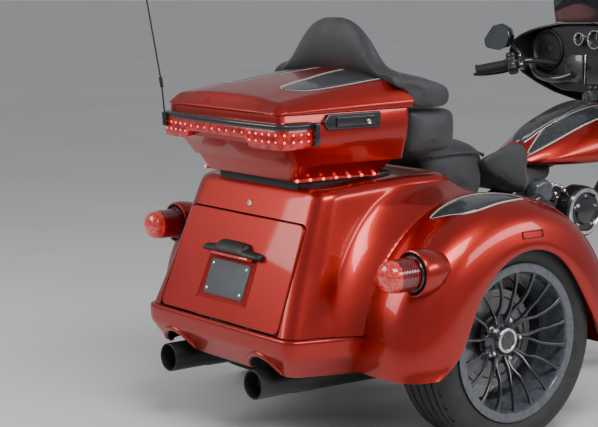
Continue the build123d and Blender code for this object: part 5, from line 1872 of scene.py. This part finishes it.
LINKAGE = (
    (0.7, -0.14, 0.668, 0.009), (0.712, -0.138, 0.652, 0.007), (0.722, -0.15, 0.69, 0.008),
    (0.74, -0.145, 0.676, 0.01), (0.694, -0.13, 0.7, 0.007),
)
ROD = [(0.64, -0.105, 0.7), (0.694, -0.13, 0.7), (0.722, -0.15, 0.69), (0.74, -0.145, 0.676)]
HOSE = [(0.712, -0.138, 0.652), (0.69, -0.15, 0.63), (0.7, -0.12, 0.6), (0.74, -0.095, 0.59)]
place(beads("linkage_joints", LINKAGE), "chassis", *STEEL)
place(tube("linkage_rod", curve_through(ROD, 5), 0.0038, 8), "chassis", *STEEL)
place(tube("fuel_hose", curve_through(HOSE, 6), 0.0055, 10), "chassis", "belt_rubber")
rocker_bolts = []
for lean in (22.5, -22.5):
    for along, across in ((-0.042, -0.036), (0.042, -0.036), (-0.042, 0.036), (0.042, 0.036)):
        bolt = cylinder(12, 0.0062, 0.007, (along, across, 0.3395))
        modify(bolt, "BEVEL", width=0.001, segments=2)
        bolt.rotation_euler = (0, math.radians(lean), 0)
        bolt.location = (0.8, 0, 0.33)
        bpy.ops.object.transform_apply()
        rocker_bolts.append(bolt)
place(smooth(join("rocker_bolts", rocker_bolts)), "chassis", *STEEL)

# ---------------------------------------------------------------- headlamp and front fender
BUCKET = (
    (1.44, 0.0), (1.44, 0.088), (1.492, 0.09), (1.5, 0.095), (1.506, 0.096), (1.51, 0.093),
    (1.508, 0.088), (1.5, 0.086), (1.494, 0.08), (1.47, 0.04), (1.466, 0.0),
)
HEADLAMP_LENS = ((1.498, 0.0), (1.498, 0.086), (1.506, 0.086), (1.514, 0.07), (1.52, 0.045), (1.5225, 0.0))
place(facing_rear("headlamp_bucket", BUCKET, 0.0, 1.075, 72), "steering", "gloss_black", ["headlamp"])
place(facing_rear("headlamp_lens", HEADLAMP_LENS, 0.0, 1.075, 72), "steering", "lamp_glass")

# off the front wheel's middle plane, radius over its axle
FRONT_FENDER = (
    (-0.082, 0.268), (-0.0835, 0.3), (-0.0815, 0.328), (-0.07, 0.343), (-0.045, 0.352), (0.0, 0.357),
)


def front_fender_line(angle):
    turn = math.radians(angle)
    half = []
    trim = min(1.0, (angle + 64) / 10, (116 - angle) / 10)
    for y, reach in FRONT_FENDER:
        if reach < 0.33:
            reach = 0.328 - (0.328 - reach) * max(0.05, trim)
        half.append((FRONT_WHEEL[0] + reach * math.sin(turn), y, FRONT_WHEEL[2] + reach * math.cos(turn)))
    return half + mirrored(half)


front_fender = skin("front_fender_shell", [front_fender_line(angle) for angle in range(-105, 55, 6)])
refine(front_fender, 2, **OPEN_EDGE)
place(smooth(thicken(front_fender, 0.003, -1), 50), "steering", "candy_paint", ["front_fender"])

# ---------------------------------------------------------------- studio
add_camera()
bpy.ops.mesh.primitive_plane_add(size=400, location=(0, 0, 0))
floor = bpy.context.object
floor.name = "floor"
make_finish("floor_paint", (FLOOR_GREY, times(FLOOR_GREY, 0.94)), (0.7, 3), (0.62, 0.62))
floor.data.materials.append(FINISHES["floor_paint"])
world = bpy.data.worlds.new("studio")
bpy.context.scene.world = world
world.use_nodes = True
world.node_tree.nodes["Background"].inputs["Color"].default_value = (0.82, 0.84, 0.87, 1)
world.node_tree.nodes["Background"].inputs["Strength"].default_value = 0.42
add_light("key_light", (-1.6, -2.6, 3.4), (-0.6, 0, 0.6), 2.4, 1.2, 120)
add_light("side_light", (1.4, -3.6, 2.2), (-0.3, -0.4, 0.6), 3.0, 0.8, 60)
add_light("fill_light", (-3.8, 2.2, 2.6), (-0.8, 0.2, 0.6), 2.0, 2.0, 70)
